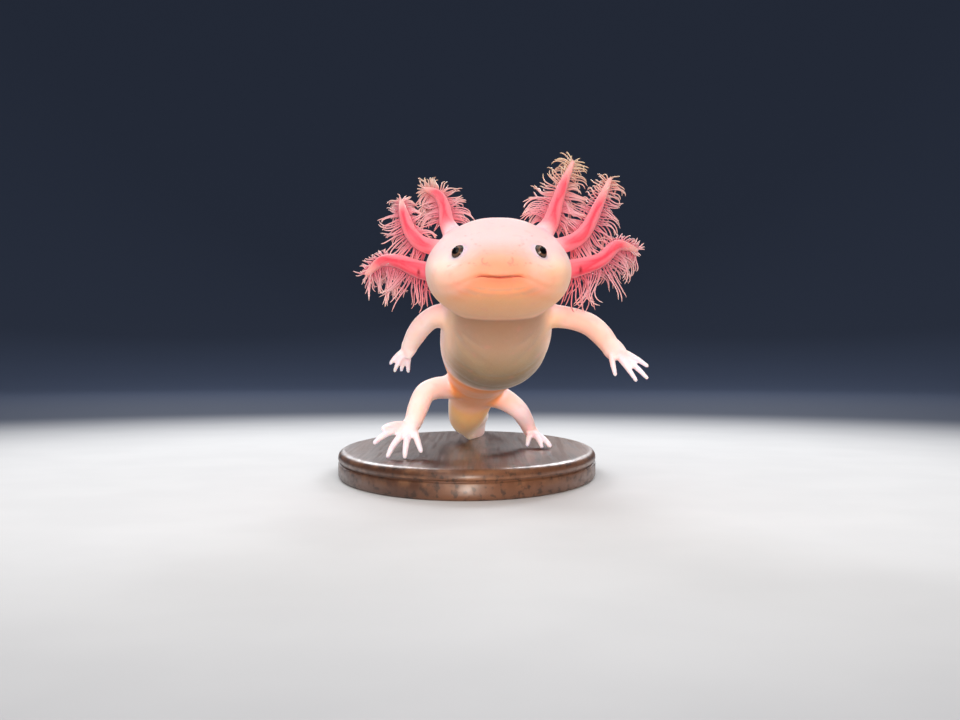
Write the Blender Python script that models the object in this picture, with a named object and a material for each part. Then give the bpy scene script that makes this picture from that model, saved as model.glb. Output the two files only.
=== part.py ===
"""A life-size axolotl, rearing up on its hind feet over a plain oval display base.

The animal faces -Y and its own left is +X.  +Z is up, and the origin is the middle of the base's underside.
Tables and sizes are in millimetres; they become metres where a shape is made.
"""

import math

import bmesh
import bpy
from mathutils import Matrix, Vector

MM = 0.001

# Display base
BASE_HALF_WIDTH = 30.0
BASE_HALF_LENGTH = 57.0
BASE_THICKNESS = 6.0
BASE_EDGE = 1.2
BASE_SIDES = 44

# Fit between the pieces
GAP = 0.3
EYE_GAP = 0.12
FLOOR = BASE_THICKNESS + GAP

# Head, measured back from the snout: distance, half width, crown above the axis, throat below it
SNOUT = (6.4, -75.0, 41.9)
HEAD_SIDES = 26
HEAD_RINGS = 17
HEAD_STATIONS = (
    (0.0, 2.0, 0.6, 1.3),
    (0.5, 4.9, 1.8, 2.7),
    (1.3, 6.9, 2.8, 3.8),
    (3.0, 8.9, 3.8, 4.8),
    (6.0, 10.9, 5.3, 5.9),
    (10.0, 12.4, 7.7, 7.0),
    (14.0, 13.3, 9.8, 7.7),
    (18.0, 13.5, 11.3, 7.8),
    (21.5, 12.3, 11.1, 7.3),
    (24.5, 10.2, 9.6, 6.2),
    (26.8, 6.4, 7.0, 4.2),
)
HEAD_FULLNESS = (1.84, 2.3)

# Mouth, below the head's axis, and the lower jaw's rounded plan
MOUTH_DROP = 1.2
MOUTH_TILT = 5.0
JAW_LENGTH = 11.5
JAW_HALF_WIDTH = 9.4
JAW_SIDES = 28

# Eyes, from the snout along the head's axis
EYE_RADIUS = 1.55
EYE_SEGMENTS = 14
EYE_RINGS = 8
EYE_BACK = 6.65
EYE_SIDE = 7.2
EYE_RISE = 3.65

# Spine: x, y, z, half width and half height of the body's core
SPINE_SIDES = 20
SPINE = (
    (6.6, -63.0, 43.0, 7.8, 6.4),
    (6.6, -56.0, 41.6, 9.5, 8.4),
    (6.5, -49.0, 37.6, 10.4, 9.9),
    (6.3, -42.0, 32.9, 11.1, 10.1),
    (5.7, -34.0, 29.7, 11.0, 9.6),
    (4.7, -26.0, 26.9, 9.7, 7.5),
    (3.2, -17.0, 23.4, 7.4, 5.6),
    (1.6, -8.0, 19.6, 5.8, 4.5),
    (0.2, 0.0, 15.3, 4.8, 4.9),
    (-0.6, 9.0, 12.5, 3.8, 4.5),
    (0.6, 21.0, 11.8, 2.6, 3.6),
    (3.2, 33.0, 11.6, 1.8, 2.7),
    (4.0, 44.0, 11.3, 1.1, 1.8),
    (2.4, 52.5, 11.0, 0.5, 0.8),
)
RINGS_PER_STATION = 2
LENGTHS = (("trunk", 6.6), ("pelvis", 7.9), ("tail_base", 9.5), ("tail_middle", 11.3), ("tail_tip", 13.0))

# Fins: height beyond the core at each spine station, from the first one named
DORSAL_FROM = 3
DORSAL_HEIGHTS = (0.6, 1.1, 1.4, 1.8, 2.4, 3.3, 4.2, 4.7, 4.4, 2.7, 0.5)
VENTRAL_FROM = 8
VENTRAL_HEIGHTS = (-1.2, 0.3, 2.3, 3.2, 2.5, 0.5)
FIN_ROOT_DEPTH = 1.5
FIN_HALF_THICKNESS = 0.45

# Limbs: x, y, z and half thickness from inside the body to the wrist or ankle; the bend is at the row named
LIMB_SIDES = 10
LIMB_RINGS = 2
BEND_AT = 3
ARM_LEFT = (
    (9.5, -46.8, 35.0, 2.7),
    (16.0, -48.3, 35.1, 2.4),
    (20.5, -49.2, 34.6, 2.15),
    (24.0, -50.0, 33.4, 2.15),
    (26.2, -51.2, 31.5, 2.1),
    (27.8, -52.4, 29.3, 1.85),
)
ARM_RIGHT = (
    (2.5, -46.8, 35.0, 2.7),
    (-4.0, -47.4, 35.3, 2.35),
    (-6.6, -45.4, 34.7, 2.15),
    (-8.6, -42.9, 33.2, 2.1),
    (-10.0, -40.6, 31.5, 2.0),
    (-11.2, -38.6, 29.6, 1.7),
)
LEG_LEFT = (
    (3.0, -8.0, 19.0, 3.2),
    (7.2, -9.2, 18.0, 2.7),
    (9.9, -10.0, 16.6, 2.4),
    (12.1, -9.4, 14.7, 2.15),
    (13.7, -6.2, 12.2, 1.85),
    (14.7, -2.8, 10.0, 1.6),
)
LEG_RIGHT = (
    (0.8, -12.0, 20.6, 3.2),
    (-4.4, -16.6, 20.4, 2.6),
    (-6.9, -19.6, 20.2, 2.4),
    (-9.1, -22.2, 19.1, 2.3),
    (-10.4, -24.4, 16.2, 2.25),
    (-11.3, -26.4, 13.2, 1.95),
)

# Each limb: its two lengths, its rows, the way the back of its paw faces, and the tips of the digits
DIGIT_SIDES = 6
DIGIT_HALF = 0.62
DIGIT_TIP_HALF = 0.38
PALM_REACH = 0.4
LIMBS = {
    "hand_left": (
        "arm_upper_left", "arm_fore_left", ARM_LEFT, (-0.3, -0.75, 0.6),
        ((28.2, -57.6, 23.8), (31.9, -58.8, 22.8), (33.9, -59.0, 23.2), (34.1, -58.0, 25.4)),
    ),
    "hand_right": (
        "arm_upper_right", "arm_fore_right", ARM_RIGHT, (-0.3, -0.8, 0.5),
        ((-15.4, -36.6, 25.8), (-14.6, -35.8, 24.3), (-13.3, -35.0, 24.4), (-11.9, -34.6, 24.1)),
    ),
    "foot_left": (
        "thigh_left", "shin_left", LEG_LEFT, (0.2, -0.2, 0.95),
        ((13.9, -9.4, 6.9), (17.1, -11.6, 6.7), (18.9, -11.2, 6.7), (19.3, -8.4, 6.7), (19.0, -4.8, 6.8)),
    ),
    "foot_right": (
        "thigh_right", "shin_right", LEG_RIGHT, (-0.3, -0.5, 0.8),
        (
            (-17.3, -33.0, 12.2), (-18.8, -35.0, 9.4), (-16.0, -36.0, 6.7), (-12.5, -36.0, 6.6),
            (-9.3, -34.0, 7.6),
        ),
    ),
}

# Gills: points and half thickness along each stalk, then the length and first place of the filaments above and
# of those below
GILL_SIDES = 8
GILL_RINGS = 9
GILLS = {
    "gill_left_top": (
        (
            (14.6, -55.0, 50.0, 2.0),
            (16.6, -51.0, 53.0, 1.6),
            (18.0, -48.0, 57.2, 1.25),
            (19.4, -45.0, 61.0, 1.0),
            (21.8, -40.5, 66.5, 0.45),
        ),
        (5.6, 1.4), (3.8, 1.6),
    ),
    "gill_left_middle": (
        (
            (15.6, -56.0, 47.4, 1.6),
            (20.4, -52.5, 49.0, 1.5),
            (23.6, -49.0, 51.8, 1.35),
            (26.4, -45.0, 57.0, 1.05),
            (29.3, -40.5, 63.0, 0.45),
        ),
        (4.4, 1.6), (4.0, 2.25),
    ),
    "gill_left_bottom": (
        (
            (15.6, -57.0, 42.8, 2.0),
            (21.4, -53.0, 44.1, 1.75),
            (26.4, -50.0, 45.9, 1.4),
            (30.0, -46.5, 49.0, 1.15),
            (34.1, -43.5, 48.4, 0.55),
        ),
        (1.8, 2.8), (6.2, 1.2),
    ),
    "gill_right_top": (
        (
            (-2.0, -55.0, 50.0, 1.9),
            (-3.4, -50.5, 53.0, 1.45),
            (-4.0, -47.2, 56.6, 1.15),
            (-5.5, -44.5, 59.4, 0.98),
            (-8.0, -42.2, 60.7, 0.55),
        ),
        (4.2, 1.6), (4.0, 1.8),
    ),
    "gill_right_middle": (
        (
            (-2.0, -56.0, 47.2, 1.6),
            (-7.5, -52.5, 48.5, 1.5),
            (-10.3, -49.5, 51.0, 1.3),
            (-12.0, -46.0, 55.2, 1.0),
            (-12.8, -41.5, 58.4, 0.5),
        ),
        (3.4, 1.8), (4.0, 2.2),
    ),
    "gill_right_bottom": (
        (
            (-2.4, -57.0, 42.5, 2.0),
            (-8.0, -53.0, 43.6, 1.75),
            (-12.8, -49.5, 45.6, 1.35),
            (-16.4, -46.0, 45.9, 1.1),
            (-19.5, -44.2, 43.5, 0.6),
        ),
        (1.6, 2.85), (5.4, 1.15),
    ),
}
FILAMENTS = 11
FILAMENTS_FEWER = 2.4
FILAMENT_LAST = 0.2
FILAMENT_HALF = 0.34
FILAMENT_TIP_HALF = 0.27
FILAMENT_BACK_UPPER = 0.85
FILAMENT_BACK_LOWER = 0.1
FILAMENT_LEAN = (0.1, 1.1)
FILAMENT_SHORTENING = 0.45

SKIN_PINK = (0.93, 0.66, 0.60)
GILL_RED = (0.86, 0.16, 0.20)
EYE_DARK = (0.06, 0.05, 0.05)
BASE_WOOD = (0.10, 0.065, 0.045)


def make_material(name, colour, roughness):
    material = bpy.data.materials.new(name)
    material.use_nodes = True
    shader = material.node_tree.nodes["Principled BSDF"]
    shader.inputs["Base Color"].default_value = (*colour, 1.0)
    shader.inputs["Roughness"].default_value = roughness
    shader.inputs["Metallic"].default_value = 0.0
    return material


def add_object(name, bm, material, smooth_angle=50.0):
    bmesh.ops.recalc_face_normals(bm, faces=bm.faces)
    mesh = bpy.data.meshes.new(name)
    bm.to_mesh(mesh)
    bm.free()
    obj = bpy.data.objects.new(name, mesh)
    bpy.context.scene.collection.objects.link(obj)
    mesh.materials.append(material)
    mesh.shade_smooth()
    mesh.set_sharp_from_angle(angle=math.radians(smooth_angle))
    return obj


def along(rows, place):
    """The row of numbers at a place on a smooth curve through the rows; 2.5 is midway from row 2 to row 3."""
    last = len(rows) - 1
    index = min(max(int(place), 0), last - 1)
    t = place - index
    first, start, end, after = (rows[min(max(index + step, 0), last)] for step in (-1, 0, 1, 2))
    return [
        0.5 * (2 * b + (c - a) * t + (2 * a - 5 * b + 4 * c - d) * t * t + (3 * b - a - 3 * c + d) * t**3)
        for a, b, c, d in zip(first, start, end, after)
    ]


def even_places(first, last, count):
    return [first + (last - first) * step / (count - 1) for step in range(count)]


def heading(rows, place):
    last = len(rows) - 1
    ahead = Vector(along(rows, min(place + 0.1, last))[:3])
    behind = Vector(along(rows, max(place - 0.1, 0.0))[:3])
    return (ahead - behind).normalized()


def section(centre, direction, half_width, half_height, up=(0, 0, 1)):
    """The matrix that carries a unit disc to an oval section across a direction."""
    forward = Vector(direction).normalized()
    side = forward.cross(Vector(up)).normalized()
    turn = Matrix((side, side.cross(forward), -forward)).transposed().to_4x4()
    size = Matrix.Diagonal((half_width * MM, half_height * MM, MM, 1.0))
    return Matrix.Translation(Vector(centre) * MM) @ turn @ size


def sweep(sections, sides, bm=None, fullness=(2.0, 2.0)):
    """A closed body: a disc, squarer than an oval by its fullness above and below, extruded from end to end."""
    bm = bm or bmesh.new()
    verts = bmesh.ops.create_circle(bm, cap_ends=True, radius=1.0, segments=sides)["verts"]
    for vert in verts:
        power = fullness[0] if vert.co.y > 0 else fullness[1]
        vert.co /= (abs(vert.co.x) ** power + abs(vert.co.y) ** power) ** (1 / power)
    bmesh.ops.transform(bm, matrix=sections[0], verts=verts)
    cap = verts[0].link_faces[0]
    for here, there in zip(sections, sections[1:]):
        grown = bmesh.ops.extrude_face_region(bm, geom=[cap, *cap.edges])["geom"]
        moved = [item for item in grown if isinstance(item, bmesh.types.BMVert)]
        bmesh.ops.transform(bm, matrix=there @ here.inverted(), verts=moved)
        cap = next(item for item in grown if isinstance(item, bmesh.types.BMFace))
    return bm


def domed(sections, reach, steps=2):
    """The sections with a dome of that reach, in millimetres, after the last one."""
    dome = []
    for step in range(1, steps + 1):
        angle = math.radians(80.0) * step / steps
        size = Matrix.Diagonal((math.cos(angle), math.cos(angle), 1.0, 1.0))
        dome.append(sections[-1] @ Matrix.Translation((0, 0, -math.sin(angle) * reach)) @ size)
    return sections + dome


def tube_sections(rows, places, start_cut=0.0, end_cut=0.0, grow=0.0, up=(0, 0, 1)):
    """Sections along rows of x, y, z, half width and half height, the two ends drawn back by the cuts."""
    made = []
    for place in places:
        row = along(rows, place)
        direction = heading(rows, place)
        shift = start_cut if place == places[0] else -end_cut if place == places[-1] else 0.0
        centre = Vector(row[:3]) + direction * shift
        made.append(section(centre, direction, row[3] + grow, row[-1] + grow, up))
    return made


def boolean(obj, operation, other, use_self=False):
    modifier = obj.modifiers.new(operation.title(), "BOOLEAN")
    modifier.operation = operation
    modifier.solver = "EXACT"
    modifier.use_self = use_self
    modifier.object = other


def as_cutter(obj):
    obj.hide_render = True
    obj.display_type = "WIRE"
    return obj


def make_head_shape(name, grow, skin):
    sections = []
    places = even_places(0.0, len(HEAD_STATIONS) - 1, HEAD_RINGS)
    for place in places:
        back, half_width, crown, throat = along(HEAD_STATIONS, place)
        reach = -grow if place == places[0] else grow if place == places[-1] else 0.0
        centre = Vector(SNOUT) + Vector((0, back + reach, (crown - throat) / 2))
        sections.append(section(centre, (0, 1, 0), half_width + grow, (crown + throat) / 2 + grow))
    return add_object(name, sweep(sections, HEAD_SIDES, fullness=HEAD_FULLNESS), skin)


def make_jaw_block(name, gap, skin):
    """The region below the mouth line, rounded in plan like the lower jaw."""
    depth = 20.0
    half_length = JAW_LENGTH * 0.8
    centre = Vector((0, JAW_LENGTH - half_length, -depth))
    sections = [
        section(centre + Vector((0, 0, rise)), (0, 0, 1), JAW_HALF_WIDTH + gap, half_length + gap, (0, 1, 0))
        for rise in (0.0, depth + gap)
    ]
    bm = sweep(sections, JAW_SIDES)
    place = Matrix.Translation((Vector(SNOUT) - Vector((0, 0, MOUTH_DROP))) * MM)
    bmesh.ops.transform(bm, matrix=place @ Matrix.Rotation(math.radians(-MOUTH_TILT), 4, "X"), verts=bm.verts)
    return as_cutter(add_object(name, bm, skin))


def make_ball(name, centre, radius, material):
    bm = bmesh.new()
    bmesh.ops.create_uvsphere(bm, u_segments=EYE_SEGMENTS, v_segments=EYE_RINGS, radius=radius * MM)
    bmesh.ops.translate(bm, vec=centre * MM, verts=bm.verts)
    return add_object(name, bm, material)


def make_head(skin, eye_material):
    """The head, with a thin cut along the mouth that parts the lower jaw, and a socket for each eye."""
    head = make_head_shape("head", 0.0, skin)
    jaw = make_head_shape("lower_jaw", 0.0, skin)
    boolean(jaw, "INTERSECT", make_jaw_block("cutter_jaw", 0.0, skin))
    boolean(head, "DIFFERENCE", make_jaw_block("cutter_mouth", GAP, skin))
    for side, word in ((1, "left"), (-1, "right")):
        centre = Vector(SNOUT) + Vector((EYE_SIDE * side, EYE_BACK, EYE_RISE))
        make_ball("eye_" + word, centre, EYE_RADIUS, eye_material)
        socket = make_ball("cutter_eye_" + word, centre, EYE_RADIUS + EYE_GAP, eye_material)
        boolean(head, "DIFFERENCE", as_cutter(socket))


def make_core(skin, head_region):
    """The body's core in its lengths, and a slightly larger one that cuts room for what joins it."""
    last = len(SPINE) - 1
    first = 0.0
    for name, end in LENGTHS:
        places = even_places(first, end, round((end - first) * RINGS_PER_STATION) + 1)
        sections = tube_sections(SPINE, places, GAP / 2 if first else 0.0, GAP / 2 if end < last else 0.0)
        if end == last:
            sections = domed(sections, 0.8)
        piece = add_object(name, sweep(sections, SPINE_SIDES), skin)
        if not first:
            boolean(piece, "DIFFERENCE", head_region)
        first = end
    places = even_places(0.0, last, last * RINGS_PER_STATION + 1)
    sections = domed(tube_sections(SPINE, places, grow=GAP), 0.8 + GAP)
    return as_cutter(add_object("cutter_core", sweep(sections, SPINE_SIDES), skin))


def make_fin(name, first, heights, sign, skin, core_region, floor_region):
    """A fin: a thin upright oval from inside the core to beyond it, cut clear of the core."""
    rows = []
    for station, height in enumerate(heights, first):
        forward = heading(SPINE, station)
        top = forward.cross(Vector((0, 0, 1))).cross(forward).normalized()
        inner, outer = SPINE[station][4] - FIN_ROOT_DEPTH, SPINE[station][4] + height
        middle = Vector(SPINE[station][:3]) + top * sign * (inner + outer) / 2
        rows.append((*middle, FIN_HALF_THICKNESS, (outer - inner) / 2))
    places = even_places(0.0, len(rows) - 1, RINGS_PER_STATION * (len(rows) - 1) + 1)
    fin = add_object(name, sweep(domed(tube_sections(rows, places), 1.2, 3), 8), skin)
    boolean(fin, "DIFFERENCE", core_region)
    boolean(fin, "DIFFERENCE", floor_region)


def make_limb(upper, lower, rows, skin, regions):
    """A limb in two lengths that are parted at its bend, its root cut clear of the body."""
    last = float(len(rows) - 1)
    for name, first, end in ((upper, 0.0, float(BEND_AT)), (lower, float(BEND_AT), last)):
        places = even_places(first, end, round(end - first) * LIMB_RINGS + 1)
        piece = add_object(name, sweep(tube_sections(rows, places), LIMB_SIDES), skin)
        for region in regions:
            boolean(piece, "DIFFERENCE", region)
        sections = tube_sections(rows, places, -GAP, -GAP, GAP)
        regions = (as_cutter(add_object("cutter_" + name, sweep(sections, LIMB_SIDES), skin)),)
    return regions[0]


def make_paw(name, limb, facing, tips, skin, regions):
    """A palm or a sole that widens from the limb's end, and a tapered digit to each tip."""
    start = Vector(limb[-1][:3])
    half = limb[-1][3]
    middle = sum((Vector(tip) for tip in tips), Vector()) / len(tips)
    spread = (Vector(tips[-1]) - Vector(tips[0])).length
    knuckles = start.lerp(middle, PALM_REACH)
    forward = (knuckles - start).normalized()
    rows = (
        (*(start - forward * half * 0.85), half * 0.5, half * 0.5),
        (*start, half * 0.98, half * 0.98),
        (*start.lerp(knuckles, 0.5), half * 1.08, half * 0.8),
        (*knuckles, max(spread * 0.28, half), half * 0.5),
    )
    sections = [section(row[:3], forward, row[3], row[4], facing) for row in rows]
    palm = add_object(name, sweep(domed(sections, 0.7), LIMB_SIDES), skin)
    digits = bmesh.new()
    for tip in tips:
        tip = Vector(tip)
        root = start.lerp(knuckles, 0.7) + (tip - middle) * 0.25
        rows = ((*root, DIGIT_HALF, DIGIT_HALF), (*tip, DIGIT_TIP_HALF, DIGIT_TIP_HALF))
        sections = [section(row[:3], tip - root, row[3], row[4], facing) for row in rows]
        sweep(domed(sections, DIGIT_TIP_HALF), DIGIT_SIDES, digits)
    boolean(palm, "UNION", as_cutter(add_object("cutter_digits_" + name, digits, skin)), use_self=True)
    for region in regions:
        boolean(palm, "DIFFERENCE", region)


def make_gill(name, stalk, upper, lower, material, regions):
    """A gill: a curved stalk with a row of short thick filaments along each of its two sides."""
    places = even_places(0.0, len(stalk) - 1, GILL_RINGS)
    sections = domed(tube_sections(stalk, places, up=(0, -1, 0)), 0.4)
    gill = add_object(name, sweep(sections, GILL_SIDES), material)
    outwards = 1.0 if stalk[-1][0] > SNOUT[0] else -1.0
    fans = bmesh.new()
    rows = ((-outwards, *upper, FILAMENT_BACK_UPPER), (outwards, *lower, FILAMENT_BACK_LOWER))
    last = len(stalk) - 1
    for sign, length, start, back in rows:
        for place in even_places(start, last - FILAMENT_LAST, round(FILAMENTS - FILAMENTS_FEWER * start)):
            row = along(stalk, place)
            direction = heading(stalk, place)
            side = direction.cross(Vector((0, -1, 0))).normalized() * sign
            lean = place / last
            reach = side + direction * (FILAMENT_LEAN[0] + FILAMENT_LEAN[1] * lean**3) + Vector((0, back, 0))
            root = Vector(row[:3])
            tip = root + reach * (row[3] + length * (1.0 - FILAMENT_SHORTENING * lean**2)) / reach.xz.length
            sections = [
                section(root, tip - root, FILAMENT_HALF, FILAMENT_HALF, (0, -1, 0)),
                section(tip, tip - root, FILAMENT_TIP_HALF, FILAMENT_TIP_HALF, (0, -1, 0)),
            ]
            sweep(sections, 4, fans)
    boolean(gill, "UNION", as_cutter(add_object("cutter_" + name, fans, material)), use_self=True)
    for region in regions:
        boolean(gill, "DIFFERENCE", region)


def make_base(material):
    """An oval plate with a softened rim."""
    profile = (
        (0.0, BASE_EDGE * 0.4), (BASE_EDGE * 0.4, 0.0), (BASE_THICKNESS - BASE_EDGE, 0.0),
        (BASE_THICKNESS - BASE_EDGE * 0.3, BASE_EDGE * 0.3), (BASE_THICKNESS, BASE_EDGE),
    )
    sections = [
        section((0, 0, height), (0, 0, 1), BASE_HALF_WIDTH - inset, BASE_HALF_LENGTH - inset, (0, 1, 0))
        for height, inset in profile
    ]
    add_object("stand_base", sweep(sections, BASE_SIDES), material, 30.0)


def make_floor_region(skin):
    """The space below the level that the feet and the tail rest at."""
    bm = bmesh.new()
    size = Matrix.Diagonal((0.1, 0.16, 0.02, 1.0))
    bmesh.ops.create_cube(bm, size=1.0, matrix=Matrix.Translation((0, 0, FLOOR * MM - 0.01)) @ size)
    return as_cutter(add_object("cutter_floor", bm, skin))


def main():
    for obj in list(bpy.data.objects):
        bpy.data.objects.remove(obj)
    skin = make_material("skin", SKIN_PINK, 0.35)
    gill_skin = make_material("gill_skin", GILL_RED, 0.35)
    eye = make_material("eye", EYE_DARK, 0.1)
    base = make_material("base", BASE_WOOD, 0.45)

    make_base(base)
    floor_region = make_floor_region(skin)
    head_region = as_cutter(make_head_shape("cutter_head", GAP, skin))
    make_head(skin, eye)
    core_region = make_core(skin, head_region)
    make_fin("fin_dorsal", DORSAL_FROM, DORSAL_HEIGHTS, 1, skin, core_region, floor_region)
    make_fin("fin_ventral", VENTRAL_FROM, VENTRAL_HEIGHTS, -1, skin, core_region, floor_region)
    body = (core_region, head_region)
    for name, (upper, lower, limb, facing, tips) in LIMBS.items():
        limb_region = make_limb(upper, lower, limb, skin, body)
        make_paw(name, limb, facing, tips, skin, (limb_region, floor_region))
    for name, (stalk, upper, lower) in GILLS.items():
        make_gill(name, stalk, upper, lower, gill_skin, body)


main()
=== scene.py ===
"""Looks for the axolotl display model: one wet skin, fine gill filaments, eyes, a wooden base and a studio.

The shapes are worked out in millimetres in the part's own frame: the animal faces -Y, its own left is +X, +Z
is up, and the origin is the middle of the base's underside. They become metres when a piece is finished.
"""

import math
import random

import bmesh
import bpy
import numpy as np
from mathutils import Matrix, Vector


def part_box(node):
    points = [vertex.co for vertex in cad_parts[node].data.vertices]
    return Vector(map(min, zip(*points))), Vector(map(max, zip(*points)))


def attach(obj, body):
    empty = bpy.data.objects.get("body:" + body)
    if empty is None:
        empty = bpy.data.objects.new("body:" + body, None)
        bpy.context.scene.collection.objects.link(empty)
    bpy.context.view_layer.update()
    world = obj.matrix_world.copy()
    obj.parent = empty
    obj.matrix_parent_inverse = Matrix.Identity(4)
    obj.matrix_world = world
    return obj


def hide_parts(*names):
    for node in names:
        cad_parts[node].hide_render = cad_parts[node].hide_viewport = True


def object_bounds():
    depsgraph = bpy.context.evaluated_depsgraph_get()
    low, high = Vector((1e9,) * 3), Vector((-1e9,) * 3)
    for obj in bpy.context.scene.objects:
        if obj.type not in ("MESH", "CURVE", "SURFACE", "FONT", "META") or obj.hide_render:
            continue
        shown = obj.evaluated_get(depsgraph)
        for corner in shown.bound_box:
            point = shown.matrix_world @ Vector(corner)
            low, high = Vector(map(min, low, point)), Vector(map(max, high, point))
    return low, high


bl_info = {
    "name": "Axolotl Looks",
    "version": (1, 0, 0),
    "blender": (4, 5, 0),
    "location": "3D View > Sidebar > Axolotl",
    "description": "Dresses an axolotl display model with skin, gill filaments, eyes, a base and a studio",
    "category": "Object",
}

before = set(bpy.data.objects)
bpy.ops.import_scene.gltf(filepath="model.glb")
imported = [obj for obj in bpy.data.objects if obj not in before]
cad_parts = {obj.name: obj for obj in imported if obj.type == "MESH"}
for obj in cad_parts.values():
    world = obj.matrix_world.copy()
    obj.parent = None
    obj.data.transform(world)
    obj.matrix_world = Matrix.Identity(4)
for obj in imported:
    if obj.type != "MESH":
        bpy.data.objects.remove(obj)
CAD_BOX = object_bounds()

MM = 0.001
SEED = 11

# Head, measured back from the snout: distance, half width, crown above the axis, throat below it
SNOUT = (6.4, -75.0, 41.9)
HEAD_STATIONS = (
    (0.0, 2.0, 0.6, 1.3),
    (0.5, 4.9, 1.8, 2.7),
    (1.3, 6.9, 2.8, 3.8),
    (3.0, 8.9, 3.8, 4.8),
    (6.0, 10.9, 5.3, 5.9),
    (10.0, 12.4, 7.7, 7.0),
    (14.0, 13.3, 9.8, 7.7),
    (18.0, 13.5, 11.3, 7.8),
    (21.5, 12.3, 11.1, 7.3),
    (24.5, 10.2, 9.6, 6.2),
    (26.8, 6.4, 7.0, 4.2),
)
HEAD_FULLNESS = (1.84, 2.3)

# Mouth: height of its line above the head's axis at distances out from the middle
MOUTH_LINE = (
    (0.0, -1.32),
    (1.7, -1.2),
    (3.3, -1.08),
    (4.7, -1.45),
    (6.0, -2.05),
    (7.5, -2.65),
    (9.0, -2.95),
    (10.4, -2.8),
    (11.6, -2.2),
)

# Humps and hollows on each side of the face: middle (out, back, up), half spread each way, and height
EYE_HUMP = ((6.9, 7.2, 3.9), (2.9, 2.9, 2.9), 0.42)
CHEEK_HUMP = ((10.6, 8.6, -0.4), (3.0, 3.6, 2.7), 0.38)
TEMPLE_HOLLOW = ((9.8, 9.0, 2.2), (1.5, 1.5, 0.825), -0.2)
NOSE_HUMP = ((2.2, 0.0, 1.7), (1.6, math.inf, 1.44), 0.12)
CROWN_HUMP = ((5.4, 17.0, 0.0), (4.0, 5.6, math.inf), 0.14)
CROWN_GROOVE = ((0.0, 0.0, 0.0), (2.0, math.inf, math.inf), -0.08)

# Nostrils: how far each is to the side of the snout's middle and above it, and the radius of its crescent
NOSTRILS = ((1.75, 1.6), (-2.6, 1.55))
NOSTRIL_RING = 0.52

# Rows of sense pits on each side, as points out and up: over the lip, up past the eye, and on the jaw
PORE_ROWS = (
    ((1.8, 0.7), (3.4, 0.95), (5.2, 1.0), (7.2, 0.9), (9.0, 1.1)),
    ((2.2, 2.9), (3.4, 4.3), (4.6, 5.6), (6.0, 6.8), (8.0, 7.4)),
    ((2.4, -3.4), (4.6, -4.3), (7.0, -5.0)),
)

# Eyes, from the snout along the head's axis; GAZE and the other ways are the left eye's
EYE_SIDE = 6.9
EYE_BACK = 6.95
EYE_RISE = 3.4
EYE_RADIUS = 1.55
GAZE = (0.62, -0.63, 0.47)
PUPIL_FACING = (0.56, -0.76, 0.33)
CORNEA_ANGLE = 46.0
CORNEA_RISE = 0.08
# The seat that each eye lies in, and the rim of skin round the eyeball, as an angle from its gaze
SEAT_FACING = (0.5, -0.57, 0.62)
SEAT_HEIGHT = 0.66
SEAT_FALL = 0.035
SEAT_REACH = 2.6
RIM_ANGLE = 60.0
RIM_HEIGHT = 0.07

# Spine: x, y, z, half width and half height of the body's core
SPINE = (
    (6.6, -63.0, 43.0, 7.8, 6.4),
    (6.6, -56.0, 41.6, 9.5, 8.4),
    (6.5, -49.0, 37.6, 10.4, 9.9),
    (6.3, -42.0, 32.9, 11.1, 10.1),
    (5.7, -34.0, 29.7, 11.0, 9.6),
    (4.7, -26.0, 26.9, 9.7, 7.5),
    (3.2, -17.0, 23.4, 7.4, 5.6),
    (1.6, -8.0, 19.6, 5.8, 4.5),
    (0.2, 0.0, 15.3, 4.8, 4.9),
    (-0.6, 9.0, 12.5, 3.8, 4.5),
    (0.6, 21.0, 11.8, 2.6, 3.6),
    (3.2, 33.0, 11.6, 1.8, 2.7),
    (4.0, 44.0, 11.3, 1.1, 1.8),
    (2.4, 52.5, 11.0, 0.5, 0.8),
)

# Folds across the belly: spine station, rise towards the sides, depth and half width along the spine
BELLY_FOLDS = (
    (2.3, 0.9, 0.14, 0.14),
    (2.8, 0.9, 0.14, 0.14),
    (3.2, 0.3, 0.08, 0.07),
    (3.85, 0.2, 0.06, 0.09),
    (5.25, 0.25, 0.5, 0.2),
    (6.2, 0.25, 0.1, 0.1),
)
SIDE_FOLD_RISE = 0.5

# Fins: first spine station, side of the body and height beyond the core at each station
FINS = (
    (3, 1, (-1.0, 0.6, 1.3, 1.8, 2.4, 3.3, 4.2, 4.7, 4.4, 2.7, 0.5)),
    (8, -1, (-1.4, 0.2, 2.3, 3.2, 2.5, 0.5)),
)
FIN_ROOT_DEPTH = 1.5
FIN_HALF_THICKNESS = 0.42
FIN_FULLNESS = 3.2

# Limbs: x, y, z and half thickness from inside the body to the wrist or ankle
ARM_LEFT = (
    (9.5, -46.8, 35.0, 2.7),
    (16.0, -48.3, 35.1, 2.4),
    (20.5, -49.2, 34.6, 2.15),
    (24.0, -50.0, 33.4, 2.15),
    (26.2, -51.2, 31.5, 2.1),
    (27.8, -52.4, 29.3, 1.85),
)
ARM_RIGHT = (
    (2.5, -46.8, 35.0, 2.7),
    (-4.0, -47.4, 35.3, 2.35),
    (-6.6, -45.4, 34.7, 2.15),
    (-8.6, -42.9, 33.2, 2.1),
    (-10.0, -40.6, 31.5, 2.0),
    (-11.2, -38.6, 29.6, 1.7),
)
LEG_LEFT = (
    (3.0, -8.0, 19.0, 3.2),
    (7.2, -9.2, 18.0, 2.7),
    (9.9, -10.0, 16.6, 2.4),
    (12.1, -9.4, 14.7, 2.15),
    (13.7, -6.2, 12.2, 1.85),
    (14.7, -2.8, 10.0, 1.6),
)
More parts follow.
